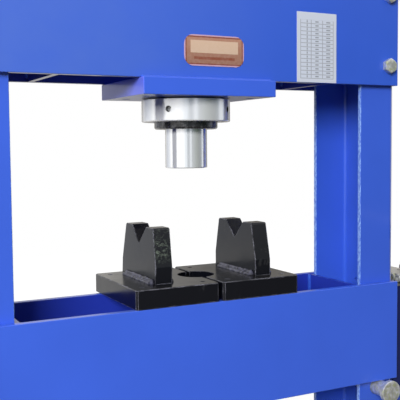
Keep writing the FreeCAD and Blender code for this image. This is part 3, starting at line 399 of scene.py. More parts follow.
def enamel(name, colour, roughness, peel, wear=0.5, sheen=None, tip_highlight=None, inside=None, corner=None):
    """Sprayed gloss enamel: cloudy colour, orange peel, thin edges and a few specks of dust.

    Where asked, light is painted into the colour: a painted sheen in a pale colour that fades out to the right
    over a reach in X; a painted highlight streaking the flange tips within a distance in X from the middle;
    painted shade on the inner faces within a distance in Y, inside; and a painted highlight on the outer front
    corner beyond a distance in X and a place in Y, corner.
    """
    made = Finish(name, colour, roughness, Coat_Weight=0.30, Coat_Roughness=0.07)
    tone = made.blend(made.noise(5.0, 3), shade(colour, 0.90), shade(colour, 1.10))
    # painted sheen: a pale colour fading out to the right
    if sheen:
        full, gone, pale = sheen
        fading = made.spread(made.axis("X"), full, gone, 1.0, 0.0)
        clouds = made.spread(made.noise(9, 3, 0.6), 0.3, 0.7, 0.65, 1.0)
        tone = made.blend(made.product(fading, clouds), tone, pale)
    # painted highlight: pale streaks on the flange tips
    if tip_highlight:
        highlit = made.math("LESS_THAN", made.distance("X"), tip_highlight)
        streaks = made.spread(made.noise(1.0, 4, 0.7, stretch=(40, 260, 90)), 0.42, 0.60, 0.10, 0.90)
        tone = made.blend(made.product(highlit, streaks), tone, PAINTED_TIP_HIGHLIGHT)
    # painted highlight on the outer front corner
    if corner:
        outer = made.math("GREATER_THAN", made.distance("X"), corner[0])
        front = made.math("LESS_THAN", made.axis("Y"), corner[1])
        tone = made.blend(made.product(outer, front, 0.85), tone, PAINTED_CORNER_HIGHLIGHT)
    # painted shade: darker enamel on the inner faces
    if inside:
        shaded_inside = made.math("LESS_THAN", made.distance("Y"), inside)
        tone = made.blend(made.product(shaded_inside, 0.75), tone, PAINTED_SHADE_INSIDE)
    thin = made.product(made.edges(0.0016), made.spread(made.noise(60, 3), 0.42, 0.62), wear)
    tone = made.blend(thin, tone, shade([0.55 * part + 0.10 for part in colour], 1.3))
    speck = made.spread(made.cells(160), 0.04, 0.02)
    made.to("Base Color", made.blend(made.product(speck, 0.25), tone, DUST_SPECK))
    made.uneven(roughness, 14, 2, 0.93, 1.12)
    made.bump(made.noise(30, 1), peel, 0.0012)
    made.bump(made.noise(200, 1), peel * 0.5, 0.0003)
    return made.material


def frame_enamel(name, colour, **marks):
    """Enamel as rough and rippled as the panel says."""
    paint = bpy.context.scene.press_paint
    return enamel(name, tuple(colour), paint.enamel_roughness, paint.peel, **marks)


# A V-block's rubbed face: its place across and in depth, then the heights of much and of little wear
RUBBED_X = (-0.104, -0.064)
RUBBED_Y = (-0.0635, -0.040)
RUBBED_MUCH = (1.080, 1.122)
RUBBED_LITTLE = (1.120, 1.148)


def black_paint(name, paint):
    """Gloss black over saw-edged plate: fine scratches, dusty clouds, bare edges with painted highlight, worn
    places.
    """
    colour, roughness = tuple(paint.black), paint.black_roughness
    made = Finish(name, colour, roughness, Specular_IOR_Level=0.38)
    dust = made.product(made.spread(made.noise(18, 4, 0.6), 0.40, 0.75, 0.0, 0.10), made.facing("Z"))
    tone = made.blend(dust, colour, (0.20, 0.18, 0.15))
    scratch = made.spread(made.noise(26, 3, 0.7, stretch=(1.0, 9.0, 0.7), turn=(0.3, 0.2, 0.5)), 0.63, 0.70)
    tone = made.blend(made.product(scratch, 0.08 * paint.scuffs), tone, (0.30, 0.30, 0.30))
    # bright edges: paint worn bare, and partly a painted highlight along the edges
    rubbed_and_highlit = made.product(made.edges(0.0022), made.spread(made.noise(45, 3), 0.40, 0.60, 0.12, 1.0))
    tone = made.blend(made.product(rubbed_and_highlit, paint.scuffs * 1.5), tone, (0.30, 0.30, 0.36))
    face = made.product(made.within("Y", *RUBBED_Y, 0.001), made.within("X", *RUBBED_X, 0.001),
                        made.facing("Y", -1.0))
    patches = made.spread(made.noise(105, 5, 0.74, twist=0.6, stretch=(1.0, 1.0, 1.3)), 0.50, 0.66)
    heights = made.largest(made.within("Z", *RUBBED_MUCH, 0.012),
                           made.product(made.within("Z", *RUBBED_LITTLE, 0.008), 0.30))
    worn = made.product(face, patches, heights, paint.scuffs * 1.4)
    made.to("Base Color", made.blend(worn, tone, (0.14, 0.17, 0.135)))
    made.uneven(roughness, 22, 3, 0.75, 1.45)
    made.bump(made.noise(40, 2), 0.10, 0.0010)
    made.bump(made.noise(420, 1), 0.08, 0.0003)
    return made.material


def weld_scale(name, colour=(0.036, 0.036, 0.052), roughness=0.15):
    """Weld under thin black paint: greyer than the plate, mottled and rough, its bright spots partly painted
    glints.
    """
    made = Finish(name, colour, roughness)
    # mottled colour whose bright spots are partly painted glints
    mottle_and_glints = made.spread(made.noise(120, 4, 0.65), 0.35, 0.68)
    made.to("Base Color", made.blend(mottle_and_glints, shade(colour, 0.30), shade(colour, 2.6)))
    made.uneven(roughness, 90, 3, 0.6, 1.4)
    made.bump(made.noise(150, 3, 0.6), 0.60, 0.0010)
    return made.material


TURNED_METAL = 0.52
GROOVE_PITCH = 0.0005


def turned_steel(name, colour, roughness=0.15, painted_shade=None):
    """Lathe-turned steel with fine grooves round the vertical axis.

    Where asked, shade is painted on in black: above a given height, for the narrow gap over the ring, then,
    within a range of distances from the axis and a range of heights, on the walls of radial holes.
    """
    made = Finish(name, colour, roughness, metallic=TURNED_METAL)
    groove = made.noise(1.0, 2, 0.6, stretch=(2.0, 2.0, 1.0 / GROOVE_PITCH))
    tone = made.blend(made.noise(9, 2), shade(colour, 0.92), shade(colour, 1.04))
    # painted shade: black in the gap over the ring and inside its radial holes
    if painted_shade:
        top, (near, far), heights = painted_shade
        above = made.spread(made.axis("Z"), top - 0.0002, top + 0.0002)
        squares = [made.math("POWER", made.axis(letter), 2.0) for letter in "XY"]
        radius = made.math("SQRT", made.math("ADD", *squares))
        walls = made.product(made.math("GREATER_THAN", radius, near), made.math("LESS_THAN", radius, far),
                             made.within("Z", *heights))
        black = made.largest(above, walls)
        tone = made.blend(black, tone, PAINTED_SHADE_BLACK)
        made.to("Metallic", made.spread(black, 0.0, 1.0, TURNED_METAL, 0.0))
    made.to("Base Color", tone)
    made.to("Roughness", made.spread(groove, 0.3, 0.7, roughness * 0.8, roughness * 1.3))
    made.bump(groove, 0.015, 0.0002)
    return made.material


def chrome(name, colour, roughness=0.070):
    """Hard chrome, ground and polished, with hair scratches along its stroke."""
    made = Finish(name, colour, roughness, metallic=0.58)
    hair = made.noise(1.0, 3, 0.7, stretch=(900, 900, 6))
    sheen = made.noise(38, 4, 0.6)
    made.to("Roughness", made.spread(sheen, 0.42, 0.72, roughness * 0.7, roughness * 2.6))
    made.bump(hair, 0.035, 0.0002)
    return made.material


def zinc(name, colour, roughness=0.40):
    """Zinc plate with a faint yellow-green passivation."""
    made = Finish(name, colour, roughness, metallic=0.70)
    tone = made.blend(made.spread(made.noise(90, 3), 0.35, 0.65), shade(colour, 0.70), (0.86, 0.87, 0.88))
    stain = made.spread(made.noise(130, 3, move=(0.3, 0.1, 0.2)), 0.50, 0.64, 0.0, 0.80)
    made.to("Base Color", made.blend(stain, tone, (0.55, 0.58, 0.34)))
    made.uneven(roughness, 180, 3, 0.7, 1.5)
    made.bump(made.noise(240, 2), 0.12, 0.0003)
    return made.material


def cast_alloy(name, colour, roughness=0.42):
    """Cast and milled aluminium: a slight grain and soft milling lines."""
    made = Finish(name, colour, roughness, metallic=1.0)
    made.to("Base Color", made.blend(made.noise(35, 4, 0.6), shade(colour, 0.80), shade(colour, 1.15)))
    made.uneven(roughness, 60, 3, 0.75, 1.35)
    made.bump(made.noise(500, 2), 0.18, 0.0004)
    made.bump(made.noise(1.0, 1, stretch=(15, 700, 15)), 0.05, 0.0003)
    return made.material


def bright_steel(name, colour, roughness=0.28):
    """Drawn or machined steel under a thin oily coat."""
    made = Finish(name, colour, roughness, metallic=1.0, Coat_Weight=0.15, Coat_Roughness=0.20)
    made.to("Base Color", made.blend(made.spread(made.noise(24, 4, 0.65), 0.35, 0.70), colour,
                                     shade(colour, 0.62)))
    made.uneven(roughness, 50, 3, 0.8, 1.5)
    made.bump(made.noise(300, 2), 0.08, 0.0003)
    return made.material


def blackened(name, colour=(0.020, 0.020, 0.022), roughness=0.27):
    """Blackened steel under a standing oily coat, with small bright specks painted in as its glints."""
    made = Finish(name, colour, roughness, metallic=0.35, Coat_Weight=0.6, Coat_Roughness=0.10)
    # painted glints: small bright specks in the colour
    specks = made.spread(made.noise(75, 4, 0.7), 0.50, 0.66)
    made.to("Base Color", made.blend(specks, colour, (0.15, 0.15, 0.16)))
    made.uneven(roughness, 90, 3, 0.6, 1.6)
    made.bump(made.noise(120, 4, 0.65), 0.75, 0.0014)
    return made.material


def moulded(name, colour, roughness):
    """Rubber or plastic with a fine moulded grain."""
    made = Finish(name, colour, roughness)
    made.to("Base Color", made.blend(made.noise(30, 3), shade(colour, 0.75), shade(colour, 1.45)))
    made.uneven(roughness, 55, 2, 0.85, 1.2)
    made.bump(made.noise(420, 3, 0.6), 0.22, 0.0005)
    return made.material


def clear_glass(name):
    made = Finish(name, (0.96, 0.98, 0.98), 0.02, Transmission_Weight=1.0, IOR=1.45)
    made.bump(made.noise(12, 1), 0.01, 0.0003)
    return made.material


# Distances from the edges of the label
LABEL_RIM = 0.0026
LABEL_LINE = 0.0052
LABEL_BAND = (0.022, 0.013, 0.0185)      # from the sides, and its lower and upper edge from the bottom
LABEL_PANEL = (0.014, 0.026, 0.011)      # from the sides, the bottom and the top


def printed_label(name, signs):
    """Orange foil with a paler rim, a fine dark line inside it and a bare darker band: no words."""
    first, last = low("label_plate"), high("label_plate")
    made = Finish(name, tuple(signs.label), 0.34, Coat_Weight=0.3, Coat_Roughness=0.12)

    def field(inset):
        return made.window(first.x + inset, last.x - inset, first.z + inset, last.z - inset)

    fade = made.spread(made.axis("Z"), first.z, last.z)
    ground = made.blend(fade, shade(signs.label, 0.80), shade(signs.label, 1.25))
    side, bottom, top = LABEL_BAND
    band = made.window(first.x + side, last.x - side, first.z + bottom, first.z + top)
    ground = made.blend(made.product(band, 0.75), ground, (0.20, 0.035, 0.012))
    side, bottom, top = LABEL_PANEL
    panel = made.window(first.x + side, last.x - side, first.z + bottom, last.z - top)
    ground = made.blend(made.product(panel, 0.55), ground, (0.78, 0.62, 0.46))
    tone = made.blend(field(LABEL_LINE), (0.20, 0.045, 0.030), ground)
    tone = made.blend(field(LABEL_RIM), tuple(signs.label_rim), tone)
    grime = made.spread(made.noise(160, 3), 0.4, 0.8, 0.0, 0.10)
    made.to("Base Color", made.blend(grime, tone, (0.75, 0.62, 0.55)))
    made.bump(made.noise(90, 2), 0.05, 0.0004)
    return made.material


# Distances from the chart's left and lower edges: lines of the columns, the grey bars, and the table itself
CHART_COLUMNS = (0.0092, 0.0262, 0.0368, 0.0668, 0.0956)
CHART_BARS = ((0.0475, 0.0565), (0.0765, 0.0875), (0.0250, 0.0276))
CHART_SIDES = (0.0086, 0.0962)
CHART_BOTTOM = 0.0079
CHART_FIRST_ROW = 0.0085
CHART_TITLE = 0.016       # bare strip above the table
CHART_ROW = 0.0084


def printed_chart(name, signs):
    """White plate ruled into rows and columns, with a short grey bar where a value would stand."""
    first, last = low("chart_plate"), high("chart_plate")
    made = Finish(name, tuple(signs.chart), 0.38, Coat_Weight=0.2, Coat_Roughness=0.15)

    def near(value, place, reach):
        return made.math("LESS_THAN", made.math("ABSOLUTE", made.math("SUBTRACT", value, place)), reach)

    across = made.math("SUBTRACT", made.axis("X"), first.x)
    row = made.math("DIVIDE", made.math("SUBTRACT", made.axis("Z"), first.z + CHART_FIRST_ROW), CHART_ROW)
    step = made.math("FRACT", row)
    rules = made.math("LESS_THAN", made.math("MINIMUM", step, made.math("SUBTRACT", 1.0, step)), 0.085)
    lines = made.largest(rules, *[near(across, column, 0.0008) for column in CHART_COLUMNS])
    left, right = (first.x + side for side in CHART_SIDES)
    table = made.window(left, right, first.z + CHART_BOTTOM, last.z - CHART_TITLE)
    ends = [(first.x + start, first.x + end) for start, end in CHART_BARS]
    cells = made.largest(*[made.within("X", start, end, 0.0008) for start, end in ends])
    bars = near(step, 0.5, 0.17)
    line_colour = tuple(signs.chart_line)
    tone = made.blend(made.product(bars, cells, table, 0.70), tuple(signs.chart), line_colour)
    made.to("Base Color", made.blend(made.product(lines, table, 0.60), tone, line_colour))
    made.to("Roughness", made.spread(made.noise(40, 2), 0.3, 0.7, 0.32, 0.46))
    made.bump(made.noise(70, 2), 0.05, 0.0004)
    return made.material


# ------------------------------------------------------------------ weld beads
MOUNT_FRONT_LEG = 0.0045
MOUNT_BACK_LEG = 0.0038
BED_WELD = 0.155          # length of a bead inside the bed
BED_END_WALL = 0.010      # an end plate of the bed
POST_CORNER = 0.016       # a post's rounded outer corner, which has no bead
BRACKET_EDGE = 0.070      # from the middle of the pump bracket to its edges
BEAD_START = 0.026        # where a V-block's bead starts, from the block's back edge
BEAD_END = 0.014          # and where it ends, from the front edge


def puddle(name, place, turn, scale):
    """One drop of a weld: a ball, squeezed and turned."""
    clear_selection()
    bpy.ops.mesh.primitive_uv_sphere_add(segments=14, ring_count=9, radius=1.0, location=place,
                                         rotation=turn, scale=scale)
    return added(name)


def weld_bead(name, start, end, side, rise, leg, ripple, passes=1, grain=0.13):
    """Fillet bead in an inner corner: overlapping puddles in a row, merged to one lumpy skin.

    side and rise point out of the corner along its two plates. Two passes lie beside each other, and a bead
    of two passes ends in a rounder puddle. grain is the size of the skin's facets as a share of the leg.
    """
    start, end = Vector(start), Vector(end)
    side, rise = Vector(side), Vector(rise)
    run = end - start
    count = max(3, round(run.length / ripple))
    step = run / count
    turn = Matrix((side, rise, run.normalized())).transposed().to_euler()
    reach, inset = (leg * 0.80, leg * 0.16) if passes == 1 else (leg * 0.36, leg * 0.18)

    def row(out, up):
        first = puddle(name, start + step / 2 + side * out + rise * up, turn, (reach, reach, ripple * 0.98))
        return modified(first, "ARRAY", count=count, use_relative_offset=False, use_constant_offset=True,
                        constant_offset_displace=step)

    rows = []
    if passes == 2:
        rows.append(row(leg * 0.62, leg * 0.10))
        rows.append(puddle(name, end + (side + rise) * inset, turn, (leg * 0.66, leg * 0.56, leg * 0.60)))
        rows.append(row(leg * 0.12, leg * 0.58))
    rows.append(row(inset, inset))
    bead = joined(name, rows)
    facet = max(0.0007, leg * grain / passes)
    modified(bead, "REMESH", mode="VOXEL", voxel_size=facet, use_smooth_shade=True)
    lumps = bpy.data.textures.get("weld_lumps") or bpy.data.textures.new("weld_lumps", "CLOUDS")
    lumps.noise_scale = 0.007
    modified(bead, "DISPLACE", texture=lumps, texture_coords="GLOBAL", strength=leg * 0.30, mid_level=0.5)
    modified(bead, "SMOOTH", factor=0.5, iterations=1)
    return turned_outward(bead)


class PRESS_OT_frame(bpy.types.Operator):
    """Enamel on the frame and the bed"""
    bl_idname = "press.frame"
    bl_label = "Frame and bed"

    def execute(self, context):
        paint = context.scene.press_paint
        # Each limit lies just past the faces that it is to take in
        head_inside = low("top_beam_back").y + 0.0005
        bed_inside = low("bed_beam_back").y + 0.0005
        plate_side = low("cylinder_mount_plate").x
        flange_tip = low("post_right").x + 0.0012
        corner = (high("post_right").x - 0.0095, low("post_right").y + 0.0075)
        coats = (
            ("blue_enamel", paint.enamel, {},
             ("foot_plate_left", "foot_plate_right", "foot_gussets", "rear_tie_bar", "pump_bracket",
              "cylinder_barrel", "cylinder_cap")),
            # the head's back beam and cross plates: painted shade between the beams
            ("head_enamel_painted_shade", paint.enamel, {"inside": head_inside}, ("top_beam_back", "top_beam_spacers")),
            # the mount plate: the lighter copy of the blue as painted light, and a painted reflection on its
            # left side
            ("plate_enamel_painted_light", paint.bed, {"sheen": (plate_side + 0.0001, plate_side + 0.0010, PAINTED_REFLECTION_SIDE)},
             ("cylinder_mount_plate",)),
            # the bed: the lighter copy of the blue as painted light, and painted shade on its inner faces
            ("bed_enamel_painted_light", paint.bed, {"inside": bed_inside},
             ("bed_beam_front", "bed_beam_back", "bed_spacers")),
            # the head's front: painted sheen on its left, and painted shade on its inner face
            ("head_front_enamel_painted_light", paint.enamel, {"sheen": (*SHEEN_REACH, PAINTED_SHEEN), "inside": head_inside},
             ("top_beam_front",)),
            # the posts: the lighter blue a little darker as painted shade, with painted highlights on flange
            # tips and outer front corners
            ("channel_enamel_painted_light", shade(paint.bed, 0.94), {"tip_highlight": flange_tip, "corner": corner},
             ("post_left", "post_right")),
        )
        for name, colour, marks, nodes in coats:
            finish_nodes(frame_enamel(name, colour, **marks), *nodes)
        return {"FINISHED"}


class PRESS_OT_frame_welds(bpy.types.Operator):
    """Rippled beads where the frame's plates are welded"""
    bl_idname = "press.frame_welds"
    bl_label = "Frame welds"

    def execute(self, context):
        welds = context.scene.press_welds
        front, back = low("top_beam_front").y, high("top_beam_back").y
        under = low("top_beam_front").z
        plate = low("cylinder_mount_plate").x + 0.004
        beads = [
            weld_bead("mount_weld_front", (plate, front, under), (-plate, front, under),
                      (0, -1, 0), (0, 0, 1), MOUNT_FRONT_LEG, welds.ripple),
            weld_bead("mount_weld_back", (-plate, back, under), (plate, back, under),
                      (0, 1, 0), (0, 0, 1), MOUNT_BACK_LEG, welds.ripple),
        ]
        bed_front, bed_back = high("bed_beam_front").y, low("bed_beam_back").y
        inner = high("bed_spacers").x - BED_END_WALL
        top = high("bed_spacers").z - 0.001
        for sign in (-1, 1):
            for y, into in ((bed_front, 1), (bed_back, -1)):
                beads.append(weld_bead("bed_weld", (sign * inner, y, top - BED_WELD), (sign * inner, y, top),
                                       (-sign, 0, 0), (0, into, 0), welds.frame_leg, welds.ripple))
        blue = frame_enamel("weld_enamel", context.scene.press_paint.enamel, wear=0.2)
        dressed(joined("frame_weld_beads", beads), blue, "frame", ["frame_welds"])
        return {"FINISHED"}


class PRESS_OT_foot_welds(bpy.types.Operator):
    """Beads at the feet, stays, tie bar, cross plates and pump bracket"""
    bl_idname = "press.foot_welds"
    bl_label = "Other welds"

    def execute(self, context):
        welds = context.scene.press_welds
        beads = []

        def bead(start, end, side, rise, leg=welds.frame_leg):
            beads.append(weld_bead("frame_bead", start, end, side, rise, leg, welds.ripple * 1.2, grain=0.24))

        inner, outer, back = low("post_right").x, high("post_right").x, high("post_right").y
        foot, stay = high("foot_plate_right").z, high("foot_gussets")
        tie, cross = high("rear_tie_bar"), high("top_beam_spacers")
        cross_foot = low("top_beam_spacers").z
        for hand in (-1, 1):
            bead((hand * outer, POST_CORNER - back, foot), (hand * outer, back - POST_CORNER, foot),
                 (hand, 0, 0), (0, 0, 1))
            bead((hand * (inner + 0.006), back, tie.z), (hand * (tie.x - 0.004), back, tie.z),
                 (0, 1, 0), (0, 0, 1))
            for way in (-1, 1):
                bead((hand * (inner + 0.004), way * back, foot),
                     (hand * (outer - POST_CORNER), way * back, foot), (0, way, 0), (0, 0, 1))
                for x, out in ((stay.x, hand), (stay.x - STAY_WALL, -hand)):
                    bead((hand * x, way * back, foot + 0.014), (hand * x, way * back, stay.z - 0.006),
                         (out, 0, 0), (0, way, 0))
                    bead((hand * x, way * (back + 0.005), foot), (hand * x, way * (stay.y - 0.006), foot),
                         (out, 0, 0), (0, 0, 1))
                for x, out in ((cross.x, hand), (cross.x - STAY_WALL, -hand)):
                    bead((hand * x, way * back, cross.z - 0.005), (hand * x, way * back, cross_foot + 0.008),
                         (out, 0, 0), (0, -way, 0))
        lowest, highest = low("pump_bracket").z + 0.004, high("pump_bracket").z - 0.004
        for way in (-1, 1):
            y = way * BRACKET_EDGE
            bead((outer, y, lowest), (outer, y, highest), (1, 0, 0), (0, way, 0), leg=0.005)
        blue = frame_enamel("foot_weld_enamel", context.scene.press_paint.enamel, wear=0.2)
        dressed(joined("other_weld_beads", beads), blue, "frame")
        return {"FINISHED"}


class PRESS_OT_tooling(bpy.types.Operator):
    """Black paint on the press plates and V-blocks, and the blocks' weld beads"""
    bl_idname = "press.tooling"
    bl_label = "Plates and V-blocks"

    def execute(self, context):
        paint, welds = context.scene.press_paint, context.scene.press_welds
        black = black_paint("black_paint", paint)
        finish_nodes(black, "press_plate_left", "press_plate_right", "v_block_left", "v_block_right")
        beads = []
        for node in ("v_block_left", "v_block_right"):
            first, last = low(node), high(node)
            for x, out in ((first.x, -1), (first.x + BLADE_WALL, 1)):
                start, end = (x, last.y - BEAD_START, first.z), (x, first.y + BEAD_END, first.z)
                beads.append(weld_bead("block_weld", start, end, (out, 0, 0), (0, 0, 1), welds.block_leg,
                                       welds.ripple * 1.6, passes=2))
        piece = joined("v_block_weld_beads", beads)
        dressed(piece, weld_scale("black_weld_painted_glints"), "frame", ["v_block_welds"])
        return {"FINISHED"}


BOLT_FLATS = 0.030
BOLT_RADIUS = 0.010
BOLT_CORE = 0.0088        # under the thread
THREAD_LENGTH = 0.024


def beam_bolts(pitch):
    """Four hexagon bolts through both top beams: chamfered heads, shanks, and threads on their rear ends."""
    first, last = low("beam_bolts"), high("beam_bolts")
    face = low("top_beam_front").y
    thread = last.y - THREAD_LENGTH
    corner = BOLT_FLATS / math.sqrt(3)
    head = cylinder("bolt_head", corner, (0, first.y - MM, 0), (0, face, 0), 6)
    crown, deep = BOLT_FLATS * 0.475, face + MM - first.y
    clear_selection()
    bpy.ops.mesh.primitive_cone_add(vertices=64, radius1=crown + deep * math.sqrt(3), radius2=crown,
                                    depth=deep, location=(0, first.y + deep / 2, 0),
                                    rotation=(math.radians(90), 0, 0))
    dome = added("bolt_dome")
    modified(head, "BOOLEAN", operation="INTERSECT", object=dome, solver="EXACT")
    modified(head, "BEVEL", width=0.0004, segments=2, limit_method="ANGLE", angle_limit=math.radians(20))
    discard(dome)
    shank = cylinder("bolt_shank", BOLT_RADIUS, (0, face, 0), (0, thread, 0))
    core = cylinder("bolt_core", BOLT_CORE, (0, thread, 0), (0, last.y, 0))
    modified(core, "BEVEL", width=0.0010, segments=1, limit_method="ANGLE")
    ridge_radius = pitch * 0.58
    clear_selection()
    bpy.ops.mesh.primitive_circle_add(vertices=3, radius=ridge_radius, fill_type="NOTHING",
                                      rotation=(0, 0, math.pi / 6),
                                      location=(BOLT_RADIUS - ridge_radius, thread + pitch, 0))
    ridge = added("bolt_thread")
    turns = int((last.y - thread - 2.2 * pitch) / pitch)
    modified(ridge, "SCREW", axis="Y", screw_offset=pitch, iterations=turns, steps=40, render_steps=40,
             use_merge_vertices=True, use_smooth_shade=False)
    turned_outward(ridge, hole_sides=3)
    bolt = smooth(joined("bolt", [head, shank, core, ridge]))
    places = [(x, 0, z) for x in (first.x + BOLT_FLATS / 2, last.x - BOLT_FLATS / 2)
              for z in (first.z + corner, last.z - corner)]
    copies = [copied(bolt, place) for place in places]
    discard(bolt)
    return joined("beam_bolts_threaded", copies)


class PRESS_OT_fasteners(bpy.types.Operator):
    """Zinc on bolts, washers, nuts, pins and clips"""
    bl_idname = "press.fasteners"
    bl_label = "Bolts and pins"

    def execute(self, context):
        steel = context.scene.press_steel
        plated = zinc("zinc_plate", tuple(steel.zinc))
        bolts = beam_bolts(steel.thread_pitch)
        dressed(bolts, plated, "frame", ["beam_bolts"])
        finish_nodes(plated, "beam_washers", "beam_nuts", "bed_pin_left", "bed_pin_right", "pin_clips",
                     "block_plugs", "plunger_gland", "fulcrum_pin", "plunger_pin", "pipe_nuts", "pipe_clips")
        return {"FINISHED"}


SPRING_TURNS = 12
SPRING_WIRE = 0.0045


def coil_spring():
    """The return spring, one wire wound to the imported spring's sizes."""
    first, last = low("return_spring"), high("return_spring")
    clear_selection()
    bpy.ops.mesh.primitive_circle_add(vertices=16, radius=SPRING_WIRE, fill_type="NOTHING",
                                      rotation=(math.radians(90), 0, 0),
                                      location=(last.x - SPRING_WIRE, 0, first.z + SPRING_WIRE))
    wire = added("return_spring_coil")
    rise = (last.z - first.z - 2 * SPRING_WIRE) / SPRING_TURNS
    modified(wire, "SCREW", axis="Z", screw_offset=rise, iterations=SPRING_TURNS, steps=48, render_steps=48,
             use_smooth_shade=True)
    return smooth(turned_outward(wire, hole_sides=16), 50)


class PRESS_OT_cylinder(bpy.types.Operator):
    """Ram, gland, lock ring and what is inside the cylinder"""
    bl_idname = "press.cylinder"
    bl_label = "Cylinder"

    def execute(self, context):
        steel = context.scene.press_steel
        finish_nodes(chrome("ram_chrome", tuple(steel.chrome)), "ram", "pump_plunger")
        finish_nodes(turned_steel("turned_steel", tuple(steel.turned)), "piston")
        rim, centre = high("lock_ring"), middle("lock_ring").z
        # painted shade: black where the ring's top lies in the gap under the mount plate, and inside its
        # spanner holes
        painted_shade = (rim.z - 0.0030, (rim.x - 0.0125, rim.x - 0.0008), (centre - 0.009, centre + 0.012))
        finish_nodes(turned_steel("ring_steel_painted_shade", tuple(steel.turned), painted_shade=painted_shade), "lock_ring")
        finish_nodes(blackened("blackened_steel_painted_glints"), "gland")
        spring = dressed(coil_spring(), bright_steel("spring_steel", (0.20, 0.20, 0.21)), "frame",
                         ["return_spring"])
        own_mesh(spring)
        finish_nodes(turned_steel("bush_bronze", (0.58, 0.38, 0.17), 0.30), "guide_bush")
        finish_nodes(moulded("seal_rubber", (0.012, 0.012, 0.012), 0.6), "rod_seals", "piston_seals")
        return {"FINISHED"}


class PRESS_OT_pump(bpy.types.Operator):
    """Tank, pump block, lever and pipe"""
    bl_idname = "press.pump"
    bl_label = "Hand pump"

    def execute(self, context):
        paint, steel = context.scene.press_paint, context.scene.press_steel
        navy = enamel("tank_enamel", tuple(paint.tank), 0.24, paint.peel)
        finish_nodes(navy, "pump_tank", "lever_socket")
        finish_nodes(cast_alloy("pump_alloy", tuple(steel.alloy)), "pump_block", "tank_lid")
        finish_nodes(bright_steel("bright_steel", (0.52, 0.52, 0.52)), "release_valve", "lever_fulcrum",
                     "lever_handle", "pressure_pipe", "port_block")
        finish_nodes(moulded("grip_rubber", (0.014, 0.014, 0.015), 0.62), "lever_grip")
        finish_nodes(moulded("cap_plastic", (0.018, 0.018, 0.018), 0.42), "tank_filler_cap")
        return {"FINISHED"}


DIAL_SWEEP = math.radians(270)
DIAL_STEPS = 5            # from one number to the next


def dial_print(marks):
    """Raised marks over three quarters of a turn, and plain numbers inside them."""
    first, last = low("gauge_dial"), high("gauge_dial")
    centre = middle("gauge_dial")
    radius = (last.x - first.x) / 2
    count = (marks - 1) * DIAL_STEPS
    pieces = []
    for numbered, inner, wide in ((True, 0.76, 0.0011), (False, 0.83, 0.0005)):
        mark = block("dial_mark", (centre.x - wide / 2, first.y - 0.0002, centre.z + radius * inner),
                     (centre.x + wide / 2, first.y + 0.0003, centre.z + radius * 0.90))
        modified(mark, "BEVEL", width=wide * 0.2, segments=2)
        for number in range(count + 1):
            if (number % DIAL_STEPS == 0) == numbered:
                twin = copied(mark)
                bpy.ops.transform.rotate(value=DIAL_SWEEP * (number / count - 0.5), orient_axis="Y",
                                         center_override=centre)
                bpy.ops.object.transform_apply(location=True, rotation=True, scale=False)
                pieces.append(twin)
        discard(mark)
    for number in range(marks):
        angle = DIAL_SWEEP * (number / (marks - 1) - 0.5)
        place = centre + Vector((math.sin(angle), 0, math.cos(angle))) * radius * 0.60
        clear_selection()
        bpy.ops.object.text_add(location=(place.x, first.y, place.z), rotation=(math.radians(90), 0, 0))
        digits = bpy.context.object.data
        digits.body = str(number * 10)
        digits.size = 0.0075
        digits.extrude = 0.0002
        digits.align_x, digits.align_y = "CENTER", "CENTER"
        bpy.ops.object.convert(target="MESH")
        pieces.append(added("dial_number"))
    return joined("dial_print", pieces)


class PRESS_OT_gauge(bpy.types.Operator):
    """Pressure gauge with its dial's marks and numbers"""
    bl_idname = "press.gauge"
    bl_label = "Gauge"

    def execute(self, context):
        finish_nodes(enamel("gauge_enamel", (0.016, 0.016, 0.017), 0.30, 0.05, wear=0.2), "gauge_case")
        finish_nodes(moulded("dial_white", (0.80, 0.80, 0.78), 0.45), "gauge_dial")
        finish_nodes(enamel("needle_black", (0.010, 0.010, 0.010), 0.30, 0.03, wear=0.0), "gauge_needle")
        finish_nodes(clear_glass("gauge_glass"), "gauge_glass")
        ink = moulded("dial_ink", (0.012, 0.012, 0.013), 0.5)
        dressed(dial_print(context.scene.press_signs.dial_marks), ink, "frame")
        return {"FINISHED"}


class PRESS_OT_signs(bpy.types.Operator):
    """Generic print on the label and the chart"""
    bl_idname = "press.signs"
    bl_label = "Signs"

    def execute(self, context):
        signs = context.scene.press_signs
        finish_nodes(printed_label("label_print", signs), "label_plate")
        finish_nodes(printed_chart("chart_print", signs), "chart_plate")
        return {"FINISHED"}


# ------------------------------------------------------------------ studio
FACING = 27.17           # the camera's heading, clockwise from +Y
PITCH = 3.60             # below level
ROLL = -0.50
CAMERA_PLACE = (-0.7351, -1.4958, 1.3133)
SENSOR = 36              # millimetres
SHIFT = -0.015           # the photograph's frame sits a little low
# What a mirror sees on the level, by degrees from straight back at the camera towards the picture's right
ROOM_TONES = (
    (-180, (0.20, 0.18, 0.16)), (-172, (0.85, 0.82, 0.76)), (-160, (0.50, 0.48, 0.44)),
    (-134, (0.86, 0.87, 0.90)), (-124, (0.62, 0.65, 0.72)), (-106, (0.88, 0.92, 1.0)),
    (-92, (1.3, 1.3, 1.3)), (-14, (1.3, 1.3, 1.3)), (2, (0.80, 0.88, 0.95)), (8, (0.42, 0.47, 0.50)),
    (14, (0.20, 0.24, 0.29)), (19, (0.35, 0.41, 0.45)), (25, (0.85, 0.88, 0.95)), (30, (0.62, 0.70, 0.74)),
    (36, (0.28, 0.31, 0.34)), (48, (0.18, 0.23, 0.22)), (60, (0.11, 0.15, 0.12)), (73, (0.07, 0.10, 0.085)),
    (87, (0.13, 0.17, 0.18)), (94, (0.40, 0.45, 0.50)), (103, (1.1, 1.15, 1.2)), (111, (1.0, 1.05, 1.1)),
    (123, (0.42, 0.45, 0.50)), (134, (0.40, 0.42, 0.45)), (155, (0.50, 0.49, 0.47)),
    (172, (0.18, 0.16, 0.13)),
)
